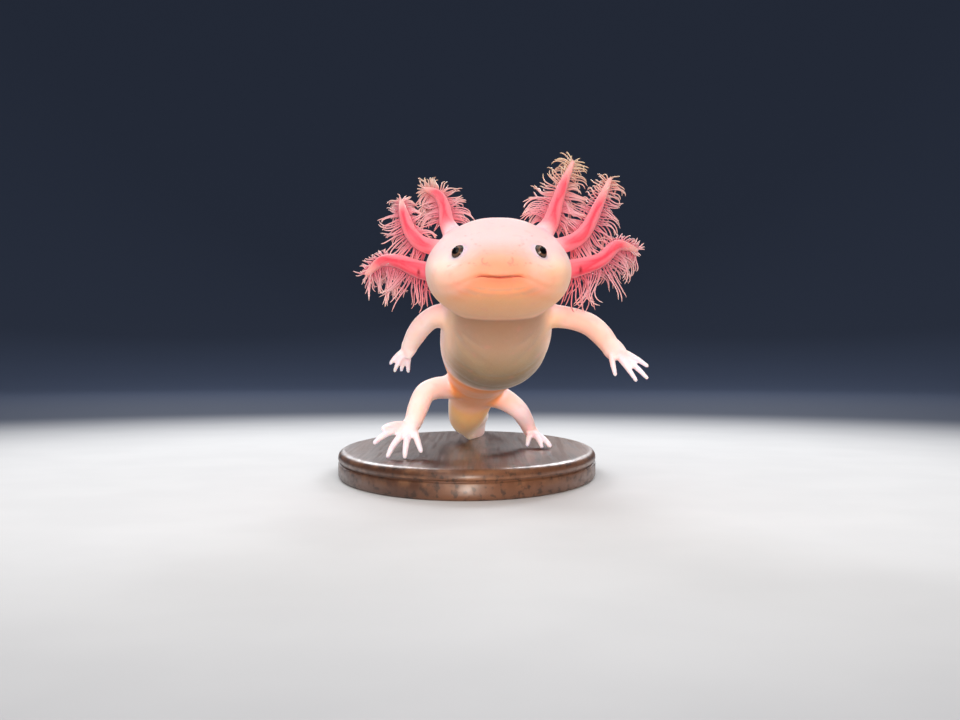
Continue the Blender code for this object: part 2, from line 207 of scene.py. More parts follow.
LEG_RIGHT = (
    (0.8, -12.0, 20.6, 3.2),
    (-4.4, -16.6, 20.4, 2.6),
    (-6.9, -19.6, 20.2, 2.4),
    (-9.1, -22.2, 19.1, 2.3),
    (-10.4, -24.4, 16.2, 2.25),
    (-11.3, -26.4, 13.2, 1.95),
)

# Each limb: its rows, the way the back of its paw faces, the palm's share of its reach, half a digit's
# thickness and the digits' tips
LIMBS = {
    "hand_left": (
        ARM_LEFT, (-0.3, -0.75, 0.6), 0.34, 0.57,
        (
            (28.2, -57.6, 23.8),
            (31.9, -58.8, 22.8),
            (33.9, -59.0, 23.2),
            (34.1, -58.0, 25.4),
        ),
    ),
    "hand_right": (
        ARM_RIGHT, (-0.3, -0.8, 0.5), 0.36, 0.55,
        (
            (-15.4, -36.6, 25.8),
            (-14.6, -35.8, 24.3),
            (-13.3, -35.0, 24.4),
            (-11.9, -34.6, 24.1),
        ),
    ),
    "foot_left": (
        LEG_LEFT, (0.2, -0.2, 0.95), 0.42, 0.66,
        (
            (13.9, -9.4, 6.9),
            (17.1, -11.6, 6.7),
            (18.9, -11.2, 6.7),
            (19.3, -8.4, 6.7),
            (19.0, -4.8, 6.8),
        ),
    ),
    "foot_right": (
        LEG_RIGHT, (-0.3, -0.5, 0.8), 0.44, 0.74,
        (
            (-17.3, -33.0, 12.2),
            (-18.8, -35.0, 9.4),
            (-16.0, -36.0, 6.7),
            (-12.5, -36.0, 6.6),
            (-9.3, -34.0, 7.6),
        ),
    ),
}
DIGIT_TIP = 0.64
FOOT_CLEARANCE = 0.02

# Gills: points and half thickness along each stalk
GILLS = {
    "gill_left_top": (
        (14.6, -55.0, 50.0, 2.0),
        (16.6, -51.0, 53.0, 1.6),
        (18.0, -48.0, 57.2, 1.25),
        (19.4, -45.0, 61.0, 1.0),
        (21.8, -40.5, 66.5, 0.45),
    ),
    "gill_left_middle": (
        (15.6, -56.0, 47.4, 1.6),
        (20.4, -52.5, 49.0, 1.5),
        (23.6, -49.0, 51.8, 1.35),
        (26.4, -45.0, 57.0, 1.05),
        (29.3, -40.5, 63.0, 0.45),
    ),
    "gill_left_bottom": (
        (15.6, -57.0, 42.8, 2.0),
        (21.4, -53.0, 44.1, 1.75),
        (26.4, -50.0, 45.9, 1.4),
        (30.0, -46.5, 49.0, 1.15),
        (34.1, -43.5, 48.4, 0.55),
    ),
    "gill_right_top": (
        (-2.0, -55.0, 50.0, 1.9),
        (-3.4, -50.5, 53.0, 1.45),
        (-4.0, -47.2, 56.6, 1.15),
        (-5.5, -44.5, 59.4, 0.98),
        (-8.0, -42.2, 60.7, 0.55),
    ),
    "gill_right_middle": (
        (-2.0, -56.0, 47.2, 1.6),
        (-7.5, -52.5, 48.5, 1.5),
        (-10.3, -49.5, 51.0, 1.3),
        (-12.0, -46.0, 55.2, 1.0),
        (-12.8, -41.5, 58.4, 0.5),
    ),
    "gill_right_bottom": (
        (-2.4, -57.0, 42.5, 2.0),
        (-8.0, -53.0, 43.6, 1.75),
        (-12.8, -49.5, 45.6, 1.35),
        (-16.4, -46.0, 45.9, 1.1),
        (-19.5, -44.2, 43.5, 0.6),
    ),
}

# For each gill, the length and first place of the filaments above its stalk, and of those below
FRINGES = {
    "gill_left_top": ((5.5, 1.05), (5.4, 1.1)),
    "gill_left_middle": ((4.6, 1.5), (6.0, 0.95)),
    "gill_left_bottom": ((2.8, 2.6), (8.4, 0.7)),
    "gill_right_top": ((4.8, 1.15), (5.2, 1.2)),
    "gill_right_middle": ((4.0, 1.6), (5.4, 0.95)),
    "gill_right_bottom": ((2.2, 2.6), (7.8, 0.7)),
}
# Layers from the sides of a stalk to its back: turn towards the back, share of the count, share of the length
FRINGE_LAYERS = ((0.0, 1.0, 1.0), (0.42, 0.8, 0.9), (0.9, 0.5, 0.72))
# For the side above the stalk and the side below it: lean towards the gill's end, and droop at each step
FRINGE_FLOW = ((0.24, 0.095), (0.06, 0.05))
CREST_LENGTH = (2.0, 3.1)
LOCK_MOST = 6
# The points along each filament, and the width of its patch on the OFBake map
FILAMENT_POINTS = 12
BAKE_PATCH = 0.003

# Base: its profile from the bottom to the top as height and inset, and the heights and spreads that hands rub
BASE_PROFILE = (
    (0.0, 0.7),
    (0.2, 0.25),
    (0.6, 0.02),
    (1.2, 0.0),
    (3.1, 0.0),
    (3.3, 0.08),
    (3.42, 0.34),
    (3.62, 0.42),
    (3.82, 0.34),
    (3.94, 0.08),
    (4.15, 0.0),
    (4.7, 0.02),
    (5.2, 0.2),
    (5.6, 0.52),
    (5.86, 0.98),
    (5.97, 1.5),
    (6.0, 2.1),
)
BASE_RUBBED = ((5.5, 0.5), (4.15, 0.25), (3.2, 0.2))

# Lamps: name, place, size across, power and colour, in metres and watts; the beam has its angle in degrees
LAMPS = (
    ("light_top", (-0.03, -0.05, 0.6), 0.5, 1.15, (1.0, 0.98, 0.96)),
    ("light_front", (-0.3, -0.7, 0.35), 0.7, 1.85, (1.0, 0.96, 0.93)),
    ("light_low", (0.08, -0.5, 0.09), 0.16, 1.1, (1.0, 0.9, 0.8)),
    ("light_back_left", (-0.25, 0.7, 0.42), 0.3, 2.8, (0.96, 0.97, 1.0)),
    ("light_back_right", (0.25, 0.7, 0.42), 0.3, 2.8, (0.96, 0.97, 1.0)),
)
BEAM = ("beam_low", (0.01, -0.5, 0.02), 6.0, 13.0, (1.0, 0.92, 0.84))
BEAM_TARGET = (0.002, -0.003, 0.014)
AIR_COLOUR = (1.0, 0.97, 0.94, 1.0)

# Backdrop in metres: radius of the flat floor, radius of the bend and height of the wall
BACKDROP = (0.75, 0.35, 1.1)


# ----------------------------------------------------------------------------------------------------------
# Curves, sections and forms


def along(rows, place):
    """The row of numbers at a place on a smooth curve through the rows; 2.5 is midway from row 2 to row 3."""
    last = len(rows) - 1
    index = min(max(int(place), 0), last - 1)
    t = place - index
    first, start, end, after = (rows[min(max(index + step, 0), last)] for step in (-1, 0, 1, 2))
    return [
        0.5 * (2 * b + (c - a) * t + (2 * a - 5 * b + 4 * c - d) * t * t + (3 * b - a - 3 * c + d) * t**3)
        for a, b, c, d in zip(first, start, end, after)
    ]


def even_places(first, last, count):
    return [first + (last - first) * step / (count - 1) for step in range(count)]


def heading(rows, place):
    last = len(rows) - 1
    ahead = Vector(along(rows, min(place + 0.1, last))[:3])
    behind = Vector(along(rows, max(place - 0.1, 0.0))[:3])
    return (ahead - behind).normalized()


def section(centre, direction, half_width, half_height, up=(0, 0, 1)):
    """The matrix that carries a unit disc to an oval section across a direction."""
    forward = Vector(direction).normalized()
    side = forward.cross(Vector(up)).normalized()
    turn = Matrix((side, side.cross(forward), -forward)).transposed().to_4x4()
    return Matrix.Translation(Vector(centre)) @ turn @ Matrix.Diagonal((half_width, half_height, 1.0, 1.0))


def sweep(sections, sides, fullness=(2.0, 2.0)):
    """A closed form: a disc, as full above and below as its fullness says, extruded through the sections."""
    bm = bmesh.new()
    verts = bmesh.ops.create_circle(bm, cap_ends=True, radius=1.0, segments=sides)["verts"]
    for vert in verts:
        power = fullness[0] if vert.co.y > 0 else fullness[1]
        vert.co /= (abs(vert.co.x) ** power + abs(vert.co.y) ** power) ** (1 / power)
    bmesh.ops.transform(bm, matrix=sections[0], verts=verts)
    cap = verts[0].link_faces[0]
    for here, there in zip(sections, sections[1:]):
        grown = bmesh.ops.extrude_face_region(bm, geom=[cap, *cap.edges])["geom"]
        moved = [item for item in grown if isinstance(item, bmesh.types.BMVert)]
        bmesh.ops.transform(bm, matrix=there @ here.inverted(), verts=moved)
        cap = next(item for item in grown if isinstance(item, bmesh.types.BMFace))
    return mesh_from("form", bm)


def domed(sections, reach, steps=4):
    """The sections with a dome of that reach after the last one."""
    dome = []
    for step in range(1, steps + 1):
        angle = math.radians(85.0) * step / steps
        size = Matrix.Diagonal((math.cos(angle), math.cos(angle), 1.0, 1.0))
        dome.append(sections[-1] @ Matrix.Translation((0, 0, -math.sin(angle) * reach)) @ size)
    return sections + dome


def tube_sections(rows, count, up=(0, 0, 1)):
    """Even sections along rows of x, y, z, half width and half height."""
    made = []
    for place in even_places(0.0, len(rows) - 1, count):
        row = along(rows, place)
        made.append(section(row[:3], heading(rows, place), row[3], row[-1], up))
    return made


def finish_piece(name, obj, material, slot, *replaced):
    """Names a piece, gives it its material, hangs it on the root body and hides the parts that it replaces.
    """
    obj.name = name
    obj.data.name = name
    obj.data.materials.clear()
    obj.data.materials.append(material)
    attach(obj, "root")
    if replaced:
        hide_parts(*replaced)
    return obj


def new_object(name, mesh):
    obj = bpy.data.objects.new(name, mesh)
    bpy.context.scene.collection.objects.link(obj)
    return obj


def mesh_from(name, bm):
    mesh = bpy.data.meshes.new(name)
    bmesh.ops.recalc_face_normals(bm, faces=bm.faces)
    bm.to_mesh(mesh)
    bm.free()
    return mesh


def evaluated_mesh(obj):
    """The object's mesh with its modifiers applied; the object itself is removed."""
    graph = bpy.context.evaluated_depsgraph_get()
    mesh = bpy.data.meshes.new_from_object(obj.evaluated_get(graph))
    bpy.data.objects.remove(obj)
    return mesh


# ----------------------------------------------------------------------------------------------------------
# The skin's forms


def head_forms():
    sections = []
    for place in even_places(0.0, len(HEAD_STATIONS) - 1, 61):
        back, half_width, crown, throat = along(HEAD_STATIONS, place)
        centre = Vector(SNOUT) + Vector((0, back, (crown - throat) / 2))
        sections.append(section(centre, (0, 1, 0), half_width, (crown + throat) / 2))
    return [sweep(sections, 96, HEAD_FULLNESS)]


def body_forms():
    forms = [sweep(domed(tube_sections(SPINE, 105), 0.8), 72)]
    for first, sign, heights in FINS:
        rows = []
        for station, height in enumerate(heights, first):
            forward = heading(SPINE, station)
            top = forward.cross(Vector((0, 0, 1))).cross(forward).normalized()
            inner, outer = SPINE[station][4] - FIN_ROOT_DEPTH, SPINE[station][4] + height
            middle = Vector(SPINE[station][:3]) + top * sign * (inner + outer) / 2
            rows.append((*middle, FIN_HALF_THICKNESS, (outer - inner) / 2))
        forms.append(sweep(domed(tube_sections(rows, 8 * len(rows)), 1.2), 40, (FIN_FULLNESS, FIN_FULLNESS)))
    return forms


def limb_forms(rows, facing, palm_share, digit_half, tips):
    """A limb, its palm or sole, and a digit that bends a little to each tip."""
    forms = [sweep(tube_sections(rows, 40), 32)]
    start = Vector(rows[-1][:3])
    half = rows[-1][3]
    middle = sum((Vector(tip) for tip in tips), Vector()) / len(tips)
    spread = (Vector(tips[-1]) - Vector(tips[0])).length
    knuckles = start.lerp(middle, palm_share)
    forward = (knuckles - start).normalized()
    palm = (
        (*(start - forward * half * 0.85), half * 0.5, half * 0.5),
        (*start, half * 0.98, half * 0.98),
        (*start.lerp(knuckles, 0.5), half * 1.08, half * 0.8),
        (*knuckles, max(spread * 0.24, half), half * 0.5),
    )
    sections = []
    for place in even_places(0.0, 3.0, 13):
        row = along(palm, place)
        sections.append(section(row[:3], forward, row[3], row[4], facing))
    forms.append(sweep(domed(sections, 0.7), 32))
    for tip in tips:
        tip = Vector(tip)
        root = start.lerp(knuckles, 0.7) + (tip - middle) * 0.25
        arch = Vector(facing).normalized() * (tip - root).length * 0.07
        digit = (
            (*root, digit_half * 1.12),
            (*(root.lerp(tip, 0.4) + arch), digit_half),
            (*(root.lerp(tip, 0.75) + arch * 0.8), digit_half * 0.86),
            (*tip, digit_half * DIGIT_TIP),
        )
        forms.append(sweep(domed(tube_sections(digit, 16, facing), digit_half * DIGIT_TIP), 16))
    return forms


def make_forms():
    """All the flesh as overlapping closed forms in one mesh."""
    forms = head_forms() + body_forms()
    for limb in LIMBS.values():
        forms += limb_forms(*limb)
    for stalk in GILLS.values():
        forms.append(sweep(domed(tube_sections(stalk, 40, (0, -1, 0)), 0.4), 24))
    bm = bmesh.new()
    for form in forms:
        bm.from_mesh(form)
        bpy.data.meshes.remove(form)
    return mesh_from("forms", bm)


def remeshed(mesh, voxel):
    obj = new_object("forms", mesh)
    remesh = obj.modifiers.new("Remesh", "REMESH")
    remesh.mode = "VOXEL"
    remesh.voxel_size = voxel
    return evaluated_mesh(obj)


# ----------------------------------------------------------------------------------------------------------
# Shaping: the skin's points as arrays


def smoothstep(low, high, values):
    t = np.clip((values - low) / (high - low), 0.0, 1.0)
    return t * t * (3.0 - 2.0 * t)


def bump(distance, reach):
    """A soft hump: 1 at no distance, falling away past the reach."""
    return np.exp(-((distance / reach) ** 2))


def unit(vectors):
    return vectors / np.maximum(np.linalg.norm(vectors, axis=-1, keepdims=True), 1e-9)


def read_vectors(items, name):
    """One property of three numbers of each item, as rows."""
    values = np.empty(len(items) * 3, np.float32)
    items.foreach_get(name, values)
    return values.reshape(-1, 3).astype(float)


class Clay:
    """A mesh's points and neighbours as arrays, in millimetres, with the moves that shape them."""

    def __init__(self, mesh):
        self.mesh = mesh
        self.points = read_vectors(mesh.vertices, "co")
        count = len(self.points)
        edges = np.empty(len(mesh.edges) * 2, np.int32)
        mesh.edges.foreach_get("vertices", edges)
        edges = edges.reshape(-1, 2)
        sources = np.concatenate((edges[:, 0], edges[:, 1]))
        others = np.concatenate((edges[:, 1], edges[:, 0]))
        order = np.argsort(sources, kind="stable")
        self.others = others[order]
        self.starts = np.searchsorted(sources[order], np.arange(count))
        self.degrees = np.bincount(sources, minlength=count)

    def around(self, values):
        """The mean of each point's neighbours."""
        sums = np.add.reduceat(values[self.others], self.starts, axis=0)
        return sums / (self.degrees[:, None] if values.ndim == 2 else self.degrees)

    def write(self):
        self.mesh.vertices.foreach_set("co", self.points.astype(np.float32).ravel())
        self.mesh.update()

    def normals(self):
        self.write()
        return read_vectors(self.mesh.vertex_normals, "vector")

    def push(self, amounts):
        """Moves each point out along its normal by its own amount."""
        self.points += self.normals() * amounts[:, None]

    def even_out(self, passes):
        """Takes out the small steps of a remesh, and keeps the volume."""
        for _ in range(passes):
            for share in (0.5, -0.52):
                self.points += share * (self.around(self.points) - self.points)

    def soften(self, share, passes):
        """Smooths the points where the share is high."""
        for _ in range(passes):
            self.points += (0.5 * share)[:, None] * (self.around(self.points) - self.points)

    def fill_creases(self, passes, share, least=0.003):
        """Fills sharp hollows, as where a limb leaves the body, and leaves the humps alone."""
        for step in range(passes):
            if step % 6 == 0:
                normals = self.normals()
            pull = self.around(self.points) - self.points
            lift = np.einsum("ij,ij->i", pull, normals)
            filled = np.where(lift > least, lift, 0.0) * share
            near = np.minimum(1.0, filled / 0.01)
            along_skin = pull - normals * lift[:, None]
            self.points += normals * filled[:, None] + along_skin * (0.5 * near)[:, None]


def samples_along(rows, count):
    """Points, tangents and half thickness at even places along rows."""
    places = even_places(0.0, len(rows) - 1, count)
    found = np.array([along(rows, place) for place in places])
    tangents = np.array([heading(rows, place) for place in places])
    return np.array(places), found[:, :3], tangents, found[:, 3:]


def nearest(points, samples):
    """For each point, which sample is nearest and how far it is."""
    best = np.empty(len(points), np.int32)
    distance = np.empty(len(points))
    weights = (samples**2).sum(1)
    for start in range(0, len(points), 20000):
        block = points[start:start + 20000]
        squares = weights[None, :] - 2.0 * block @ samples.T
        chosen = squares.argmin(1)
        best[start:start + 20000] = chosen
        gap = squares[np.arange(len(block)), chosen] + (block**2).sum(1)
        distance[start:start + 20000] = np.sqrt(np.maximum(gap, 0.0))
    return best, distance


def head_places(points):
    """Distance out from the middle, distance back from the snout and height above the axis."""
    local = points - np.array(SNOUT)
    return np.abs(local[:, 0]), local[:, 1], local[:, 2]


def mouth_height(out):
    places = even_places(0.0, len(MOUTH_LINE) - 1, 60)
    line = np.array([along(MOUTH_LINE, place) for place in places])
    return np.interp(out, line[:, 0], line[:, 1])


def spine_places(points):
    """Station along the spine, and the way from the spine: sideways and upwards, each over the half size."""
    places, centres, tangents, halves = samples_along(SPINE, 300)
    index, _ = nearest(points, centres)
    side = unit(np.cross(tangents, (0.0, 0.0, 1.0)))
    top = np.cross(side, tangents)
    offset = points - centres[index]
    across = np.einsum("ij,ij->i", offset, side[index]) / halves[index, 0]
    above = np.einsum("ij,ij->i", offset, top[index]) / halves[index, 1]
    return places[index], across, above


def eye_centres():
    for side, word in ((1, "left"), (-1, "right")):
        centre = np.array(SNOUT) + np.array((EYE_SIDE * side, EYE_BACK, EYE_RISE))
        gaze = unit(np.array((GAZE[0] * side, GAZE[1], GAZE[2])))
        yield word, centre, gaze


def refine(mesh, chosen):
    """Splits the chosen faces once, for finer detail there."""
    bm = bmesh.new()
    bm.from_mesh(mesh)
    bm.faces.ensure_lookup_table()
    edges = {edge for index in chosen for edge in bm.faces[index].edges}
    bmesh.ops.subdivide_edges(bm, edges=list(edges), cuts=1, use_grid_fill=True)
    bm.to_mesh(mesh)
    bm.free()


def nostril_distance(points):
    """How far each point is from the middle of the nearer nostril, as seen from the front."""
    local = points - np.array(SNOUT)
    return np.min([np.hypot(local[:, 0] - side, local[:, 2] - rise) for side, rise in NOSTRILS], axis=0)


def refine_face(mesh):
    """Finer faces round the mouth, the nostrils and the eyes."""
    centres = read_vectors(mesh.polygons, "center")
    out, back, up = head_places(centres)
    lips = (back < 9.0) & (out < 10.5) & (np.abs(up - mouth_height(out)) < 1.6)
    nostrils = (back < 6.0) & (nostril_distance(centres) < 1.3)
    chosen = lips | nostrils
    for _, centre, _ in eye_centres():
        chosen |= np.linalg.norm(centres - centre, axis=1) < 2.6
    refine(mesh, np.flatnonzero(chosen))


def hump(places, middle, spread, height):
    """A hump of that height over a middle, which falls away past its half spread each way."""
    gaps = [(place - centre) / reach for place, centre, reach in zip(places, middle, spread)]
    return height * bump(np.sqrt(sum(gap**2 for gap in gaps)), 1.0)


def shape_brow_and_cheeks(clay):
    places = head_places(clay.points)
    _, back, up = places
    shape = sum(hump(places, *row) for row in (EYE_HUMP, CHEEK_HUMP, TEMPLE_HOLLOW))
    shape += hump(places, *NOSE_HUMP) * (back < 6.0)
    shape += hump(places, *CROWN_HUMP) * smoothstep(2.0, 6.0, up)
    shape += hump(places, *CROWN_GROOVE) * smoothstep(8.0, 13.0, back) * smoothstep(4.0, 8.0, up)
    clay.push(np.where((back < 16.0) | (up > 4.0), shape, 0.0))


def shape_mouth(clay):
    """The slit between the lips, which runs out into a fold, with the upper lip over the lower one."""
    out, back, up = head_places(clay.points)
    height = up - mouth_height(out)
    reach = smoothstep(12.0, 8.0, out) * (back < 12.0) * (back > -1.0)
    slit = smoothstep(4.7, 1.6, out)
    fold = 0.1 * bump(height, 0.5) * smoothstep(1.5, 4.5, out)
    crack = (0.1 + 0.3 * slit) * bump(height, 0.15) * smoothstep(4.6, 3.3, out)
    upper = (0.1 + 0.05 * slit) * bump(height - 0.75, 0.65)
    lower = 0.05 * slit * bump(height + 0.55, 0.42)
    clay.push((upper + lower - fold - crack) * reach)


def nostril_curl(points):
    """The nostrils' crescents: 1 along a ring that is open towards the top and the middle of the snout."""
    local = points - np.array(SNOUT)
    curl = np.zeros(len(points))
    for side, rise in NOSTRILS:
        out = (local[:, 0] - side) * np.sign(side)
        above = local[:, 2] - rise
        closed = smoothstep(-0.75, -0.1, (out - above) / np.maximum(np.hypot(out, above), 0.05))
        curl = np.maximum(curl, bump(np.hypot(out, above * 0.9) - NOSTRIL_RING, 0.11) * closed)
    return curl * (local[:, 1] < 5.0)


def shape_nostrils(clay):
    """A shallow crescent round each nostril, a low lip outside it and a small pit at its lower end."""
    _, back, _ = head_places(clay.points)
    distance = nostril_distance(clay.points)
    lip = bump(distance - NOSTRIL_RING - 0.26, 0.2) * 0.035
    flap = bump(distance, 0.4) * 0.03
    clay.push((lip + flap) * (back < 5.0) - 0.1 * nostril_curl(clay.points))


def pore_places():
    """The sense pits of all the rows, none of them quite in line: out, up and size."""
    draw = random.Random(SEED)
    for row in PORE_ROWS:
        for place in even_places(0.0, len(row) - 1, 2 * len(row)):
            out, up = along(row, place + draw.uniform(-0.2, 0.2))
            yield out, up + draw.uniform(-0.25, 0.25), draw.uniform(0.5, 1.0)


def pore_mask(points):
    out, back, up = head_places(points)
    mask = np.zeros(len(points))
    front = np.flatnonzero((back < 12.0) & (np.abs(up) < 9.0))
    for pore_out, pore_up, size in pore_places():
        distance = np.hypot(out[front] - pore_out, (up[front] - pore_up) * 1.5)
        mask[front] = np.maximum(mask[front], bump(distance, 0.2 * size + 0.04) * size)
    return mask


def shape_eye_seats(clay):
    """Turns the skin round each eye towards the way the eye looks, as a low seat for it."""
    for _, centre, gaze in eye_centres():
        facing = unit(np.array(SEAT_FACING) * (np.sign(gaze[0]), 1.0, 1.0))
        offset = clay.points - centre
        distance = np.linalg.norm(offset, axis=1)
        height = offset @ facing
        aside = np.sqrt(np.maximum(distance**2 - height**2, 0.0))
        wanted = SEAT_HEIGHT - SEAT_FALL * aside**2
        share = bump(np.maximum(aside - EYE_RADIUS, 0.0), SEAT_REACH)
        clay.points += facing * ((wanted - height) * share * smoothstep(8.0, 4.0, distance))[:, None]
        clay.soften(share * smoothstep(9.0, 5.0, distance), 12)


def shape_eye_rims(clay):
    """A soft rim of skin round each eyeball, to hold it; the skin below the eyeball sinks out of sight."""
    for _, centre, gaze in eye_centres():
        offset = clay.points - centre
        distance = np.linalg.norm(offset, axis=1)
        near = np.flatnonzero(distance < 4.0)
        way = offset[near] / distance[near, None]
        angle = np.degrees(np.arccos(np.clip(way @ gaze, -1.0, 1.0)))
        inside = EYE_RADIUS * 0.8
        rim = EYE_RADIUS + RIM_HEIGHT
        wanted = inside + (rim - inside) * smoothstep(RIM_ANGLE - 9.0, RIM_ANGLE + 4.0, angle)
        share = smoothstep(3.0, 1.7, distance[near]) * smoothstep(105.0, 78.0, angle)
        moved = distance[near] + (wanted - distance[near]) * share
        clay.points[near] = centre + way * moved[:, None]


def belly_zone(station, above):
    """Where the trunk's lower side lies, from 0 on the flanks to 1 underneath."""
    return smoothstep(-0.1, -0.56, above) * smoothstep(6.6, 5.8, station)


def shape_trunk(clay):
    """The rib grooves along the flanks, the folds across the belly and the line along its sides."""
    station, across, above = spine_places(clay.points)
    flank = smoothstep(0.35, 0.75, np.abs(across)) * smoothstep(1.5, 1.1, np.abs(above))
    core = smoothstep(1.2, 1.08, np.hypot(across, above))
    body = smoothstep(2.9, 3.6, station) * smoothstep(5.9, 5.2, station) * core
    ribs = bump((station * 2.6 + above * 0.35) % 1.0 - 0.5, 0.16) * flank * body * -0.05
    lower = smoothstep(-0.3, -0.7, above)
    folds = np.zeros(len(clay.points))
    for place, rise, depth, width in BELLY_FOLDS:
        beside = smoothstep(0.05, 0.55, np.abs(across)) if rise > SIDE_FOLD_RISE else 1.0
        folds -= depth * bump(station + rise * across**2 - place, width) * lower * beside
    side_line = bump(above + 0.36, 0.07) * flank * smoothstep(2.0, 2.8, station)
    side_line *= smoothstep(5.4, 4.8, station)
    _, back, up = head_places(clay.points)
    away = smoothstep(-1.0, 1.0, back - 26.0) + smoothstep(-9.0, -11.0, up)
    height = np.abs(above)
    tail = smoothstep(8.5, 9.5, station) * smoothstep(13.0, 11.5, station) * smoothstep(1.25, 0.9, height)
    muscles = bump((station * 2.2 - height * 0.6) % 1.0 - 0.5, 0.12) * tail * -0.07
    clay.push((ribs + (folds - 0.12 * side_line) * core) * np.clip(away, 0.0, 1.0) + muscles)


def trunk_share(points):
    """Where the smooth flanks, back and belly lie."""
    station, across, above = spine_places(points)
    return smoothstep(0.5, 1.5, station) * smoothstep(1.5, 1.2, np.hypot(across, above))


def settle(clay):
    """Flattens what would sink below the top of the base."""
    _, base_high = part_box("stand_base")
    clay.points[:, 2] = np.maximum(clay.points[:, 2], base_high.z / MM + FOOT_CLEARANCE)


def fillet_shares(points):
    """How much a crease may fill at each point: less on the paws, the gills and under the chin."""
    share = np.ones(len(points))
    for rows, _, _, _, tips in LIMBS.values():
        centre = np.mean([rows[-1][:3], *tips], axis=0)
        share *= 1.0 - 0.92 * smoothstep(6.5, 4.0, np.linalg.norm(points - centre, axis=1))
    _, back, up = head_places(points)
    share *= 1.0 - 0.5 * smoothstep(-3.0, -7.0, up) * smoothstep(30.0, 24.0, back)
    return share


def shape_skin(settings):
    mesh = remeshed(make_forms(), settings.voxel)
    clay = Clay(mesh)
    clay.even_out(2)
    clay.fill_creases(settings.fillet_passes, fillet_shares(clay.points))
    clay.even_out(2)
    clay.write()
    refine_face(mesh)
    clay = Clay(mesh)
    clay.even_out(1)
    clay.soften(trunk_share(clay.points), 8)
    shape_brow_and_cheeks(clay)
    shape_mouth(clay)
    shape_nostrils(clay)
    clay.push(pore_mask(clay.points) * -0.04)
    shape_trunk(clay)
    shape_eye_seats(clay)
    shape_eye_rims(clay)
    settle(clay)
    clay.write()
    obj = new_object("skin", mesh)
    thin = obj.modifiers.new("Decimate", "DECIMATE")
    triangles = sum(len(face.vertices) - 2 for face in mesh.polygons)
    thin.ratio = min(1.0, settings.triangles / triangles)
    return evaluated_mesh(obj)


# ----------------------------------------------------------------------------------------------------------
# The skin's markings, as masks on its points


def gill_masks(points):
    """How far a point is on a gill, its dark vessels with painted shade along the lower edge of the bottom
    stalks, and how near it is to the gill's pale tip.
    """
    gill = np.zeros(len(points))
    vessel = np.zeros(len(points))
    tip = np.zeros(len(points))
    for name, rows in GILLS.items():
        places, centres, tangents, halves = samples_along(rows, 80)
        index, distance = nearest(points, centres)
        place = places[index]
        close = smoothstep(1.9, 1.35, distance / halves[index, 0])
        on_stalk = close * smoothstep(0.05, 0.75, place)
        side = unit(np.cross(tangents, (0.0, -1.0, 0.0)))
        offset = points - centres[index]
        sideways = np.einsum("ij,ij->i", offset, side[index]) / halves[index, 0]
        front = smoothstep(0.3, -0.4, offset[:, 1] / halves[index, 0])
        wander = 0.14 * np.sin(place * 3.1 + rows[0][2])
        lines = 0.8 * bump(sideways - wander, 0.45) + 0.45 * bump(sideways - 0.25 - 2.0 * wander, 0.12)
        lines += 0.35 * bump(sideways + 0.3 + wander, 0.1)
        if name.endswith("bottom"):
            # Painted shade: a deep red line along the lower edge of each bottom stalk
            lower_edge_shade = bump(sideways * np.sign(tangents[index, 0]) - 0.72, 0.22)
            lines += 0.9 * lower_edge_shade * smoothstep(2.6, 1.6, place)
        gill = np.maximum(gill, on_stalk)
        shown = smoothstep(0.3, 1.1, place) * smoothstep(3.8, 2.8, place)
        vessel = np.maximum(vessel, on_stalk * front * lines * shown)
        tip = np.maximum(tip, on_stalk * smoothstep(2.9, 3.7, place))
    return gill, vessel, tip


def slit_mask(points):
    """The dark slit low on each lowest gill, near its root: the skin has no opening there, and the dark red
    is painted shade in place of one.
    """
    mask = np.zeros(len(points))
    for name in ("gill_left_bottom", "gill_right_bottom"):
        centre = np.array(along(GILLS[name], 1.12)[:3]) + np.array((0.0, -1.7, -0.75))
        offset = points - centre
        mask += bump(offset[:, 0], 0.28) * bump(offset[:, 2], 0.65) * (np.abs(offset[:, 1]) < 1.5)
    return mask


def paw_mask(points):
    mask = np.zeros(len(points))
    for rows, _, _, _, tips in LIMBS.values():
        wrist = np.array(rows[-1][:3])
        reach = np.linalg.norm(np.mean(tips, axis=0) - wrist)
        way = unit(np.mean(tips, axis=0) - wrist)
        offset = points - wrist
        near = smoothstep(reach + 6.0, reach + 3.0, np.linalg.norm(offset, axis=1))
        mask = np.maximum(mask, near * smoothstep(-1.5, reach * 0.9, offset @ way))
    return mask


def spread_of_gills(points):
    """How the gills' pink runs out into the sides of the head."""
    spread = np.zeros(len(points))
    for rows in GILLS.values():
        distance = np.linalg.norm(points - np.array(rows[0][:3]), axis=1)
        spread = np.maximum(spread, smoothstep(7.0, 2.0, distance))
    return spread


def beside_eye_mask(points):
    """The skin along the lower and inner sides of each eye."""
    mask = np.zeros(len(points))
    for _, centre, gaze in eye_centres():
        offset = points - centre
        inner = smoothstep(0.9, -0.6, offset[:, 0] * np.sign(gaze[0])) + smoothstep(0.5, -0.8, offset[:, 2])
        ring = smoothstep(EYE_RADIUS + 0.8, EYE_RADIUS + 0.1, np.linalg.norm(offset, axis=1))
        mask = np.maximum(mask, ring * np.minimum(inner, 1.0))
    return mask


def head_share(points):
    """Where the head lies: it fades at the neck, and outside the jaw where the arms are."""
    out, back, up = head_places(points)
    stations, halves, _, throats = np.array(HEAD_STATIONS).T
    power = HEAD_FULLNESS[1]
    aside = out / np.interp(back, stations, halves)
    below = np.abs(up) / np.interp(back, stations, throats)
    beyond = (aside**power + below**power) ** (1.0 / power)
    outside = smoothstep(1.01, 1.06, beyond) * smoothstep(-2.0, -4.5, up)
    return smoothstep(28.0, 24.0, back) * smoothstep(-11.0, -9.0, up) * (1.0 - outside)


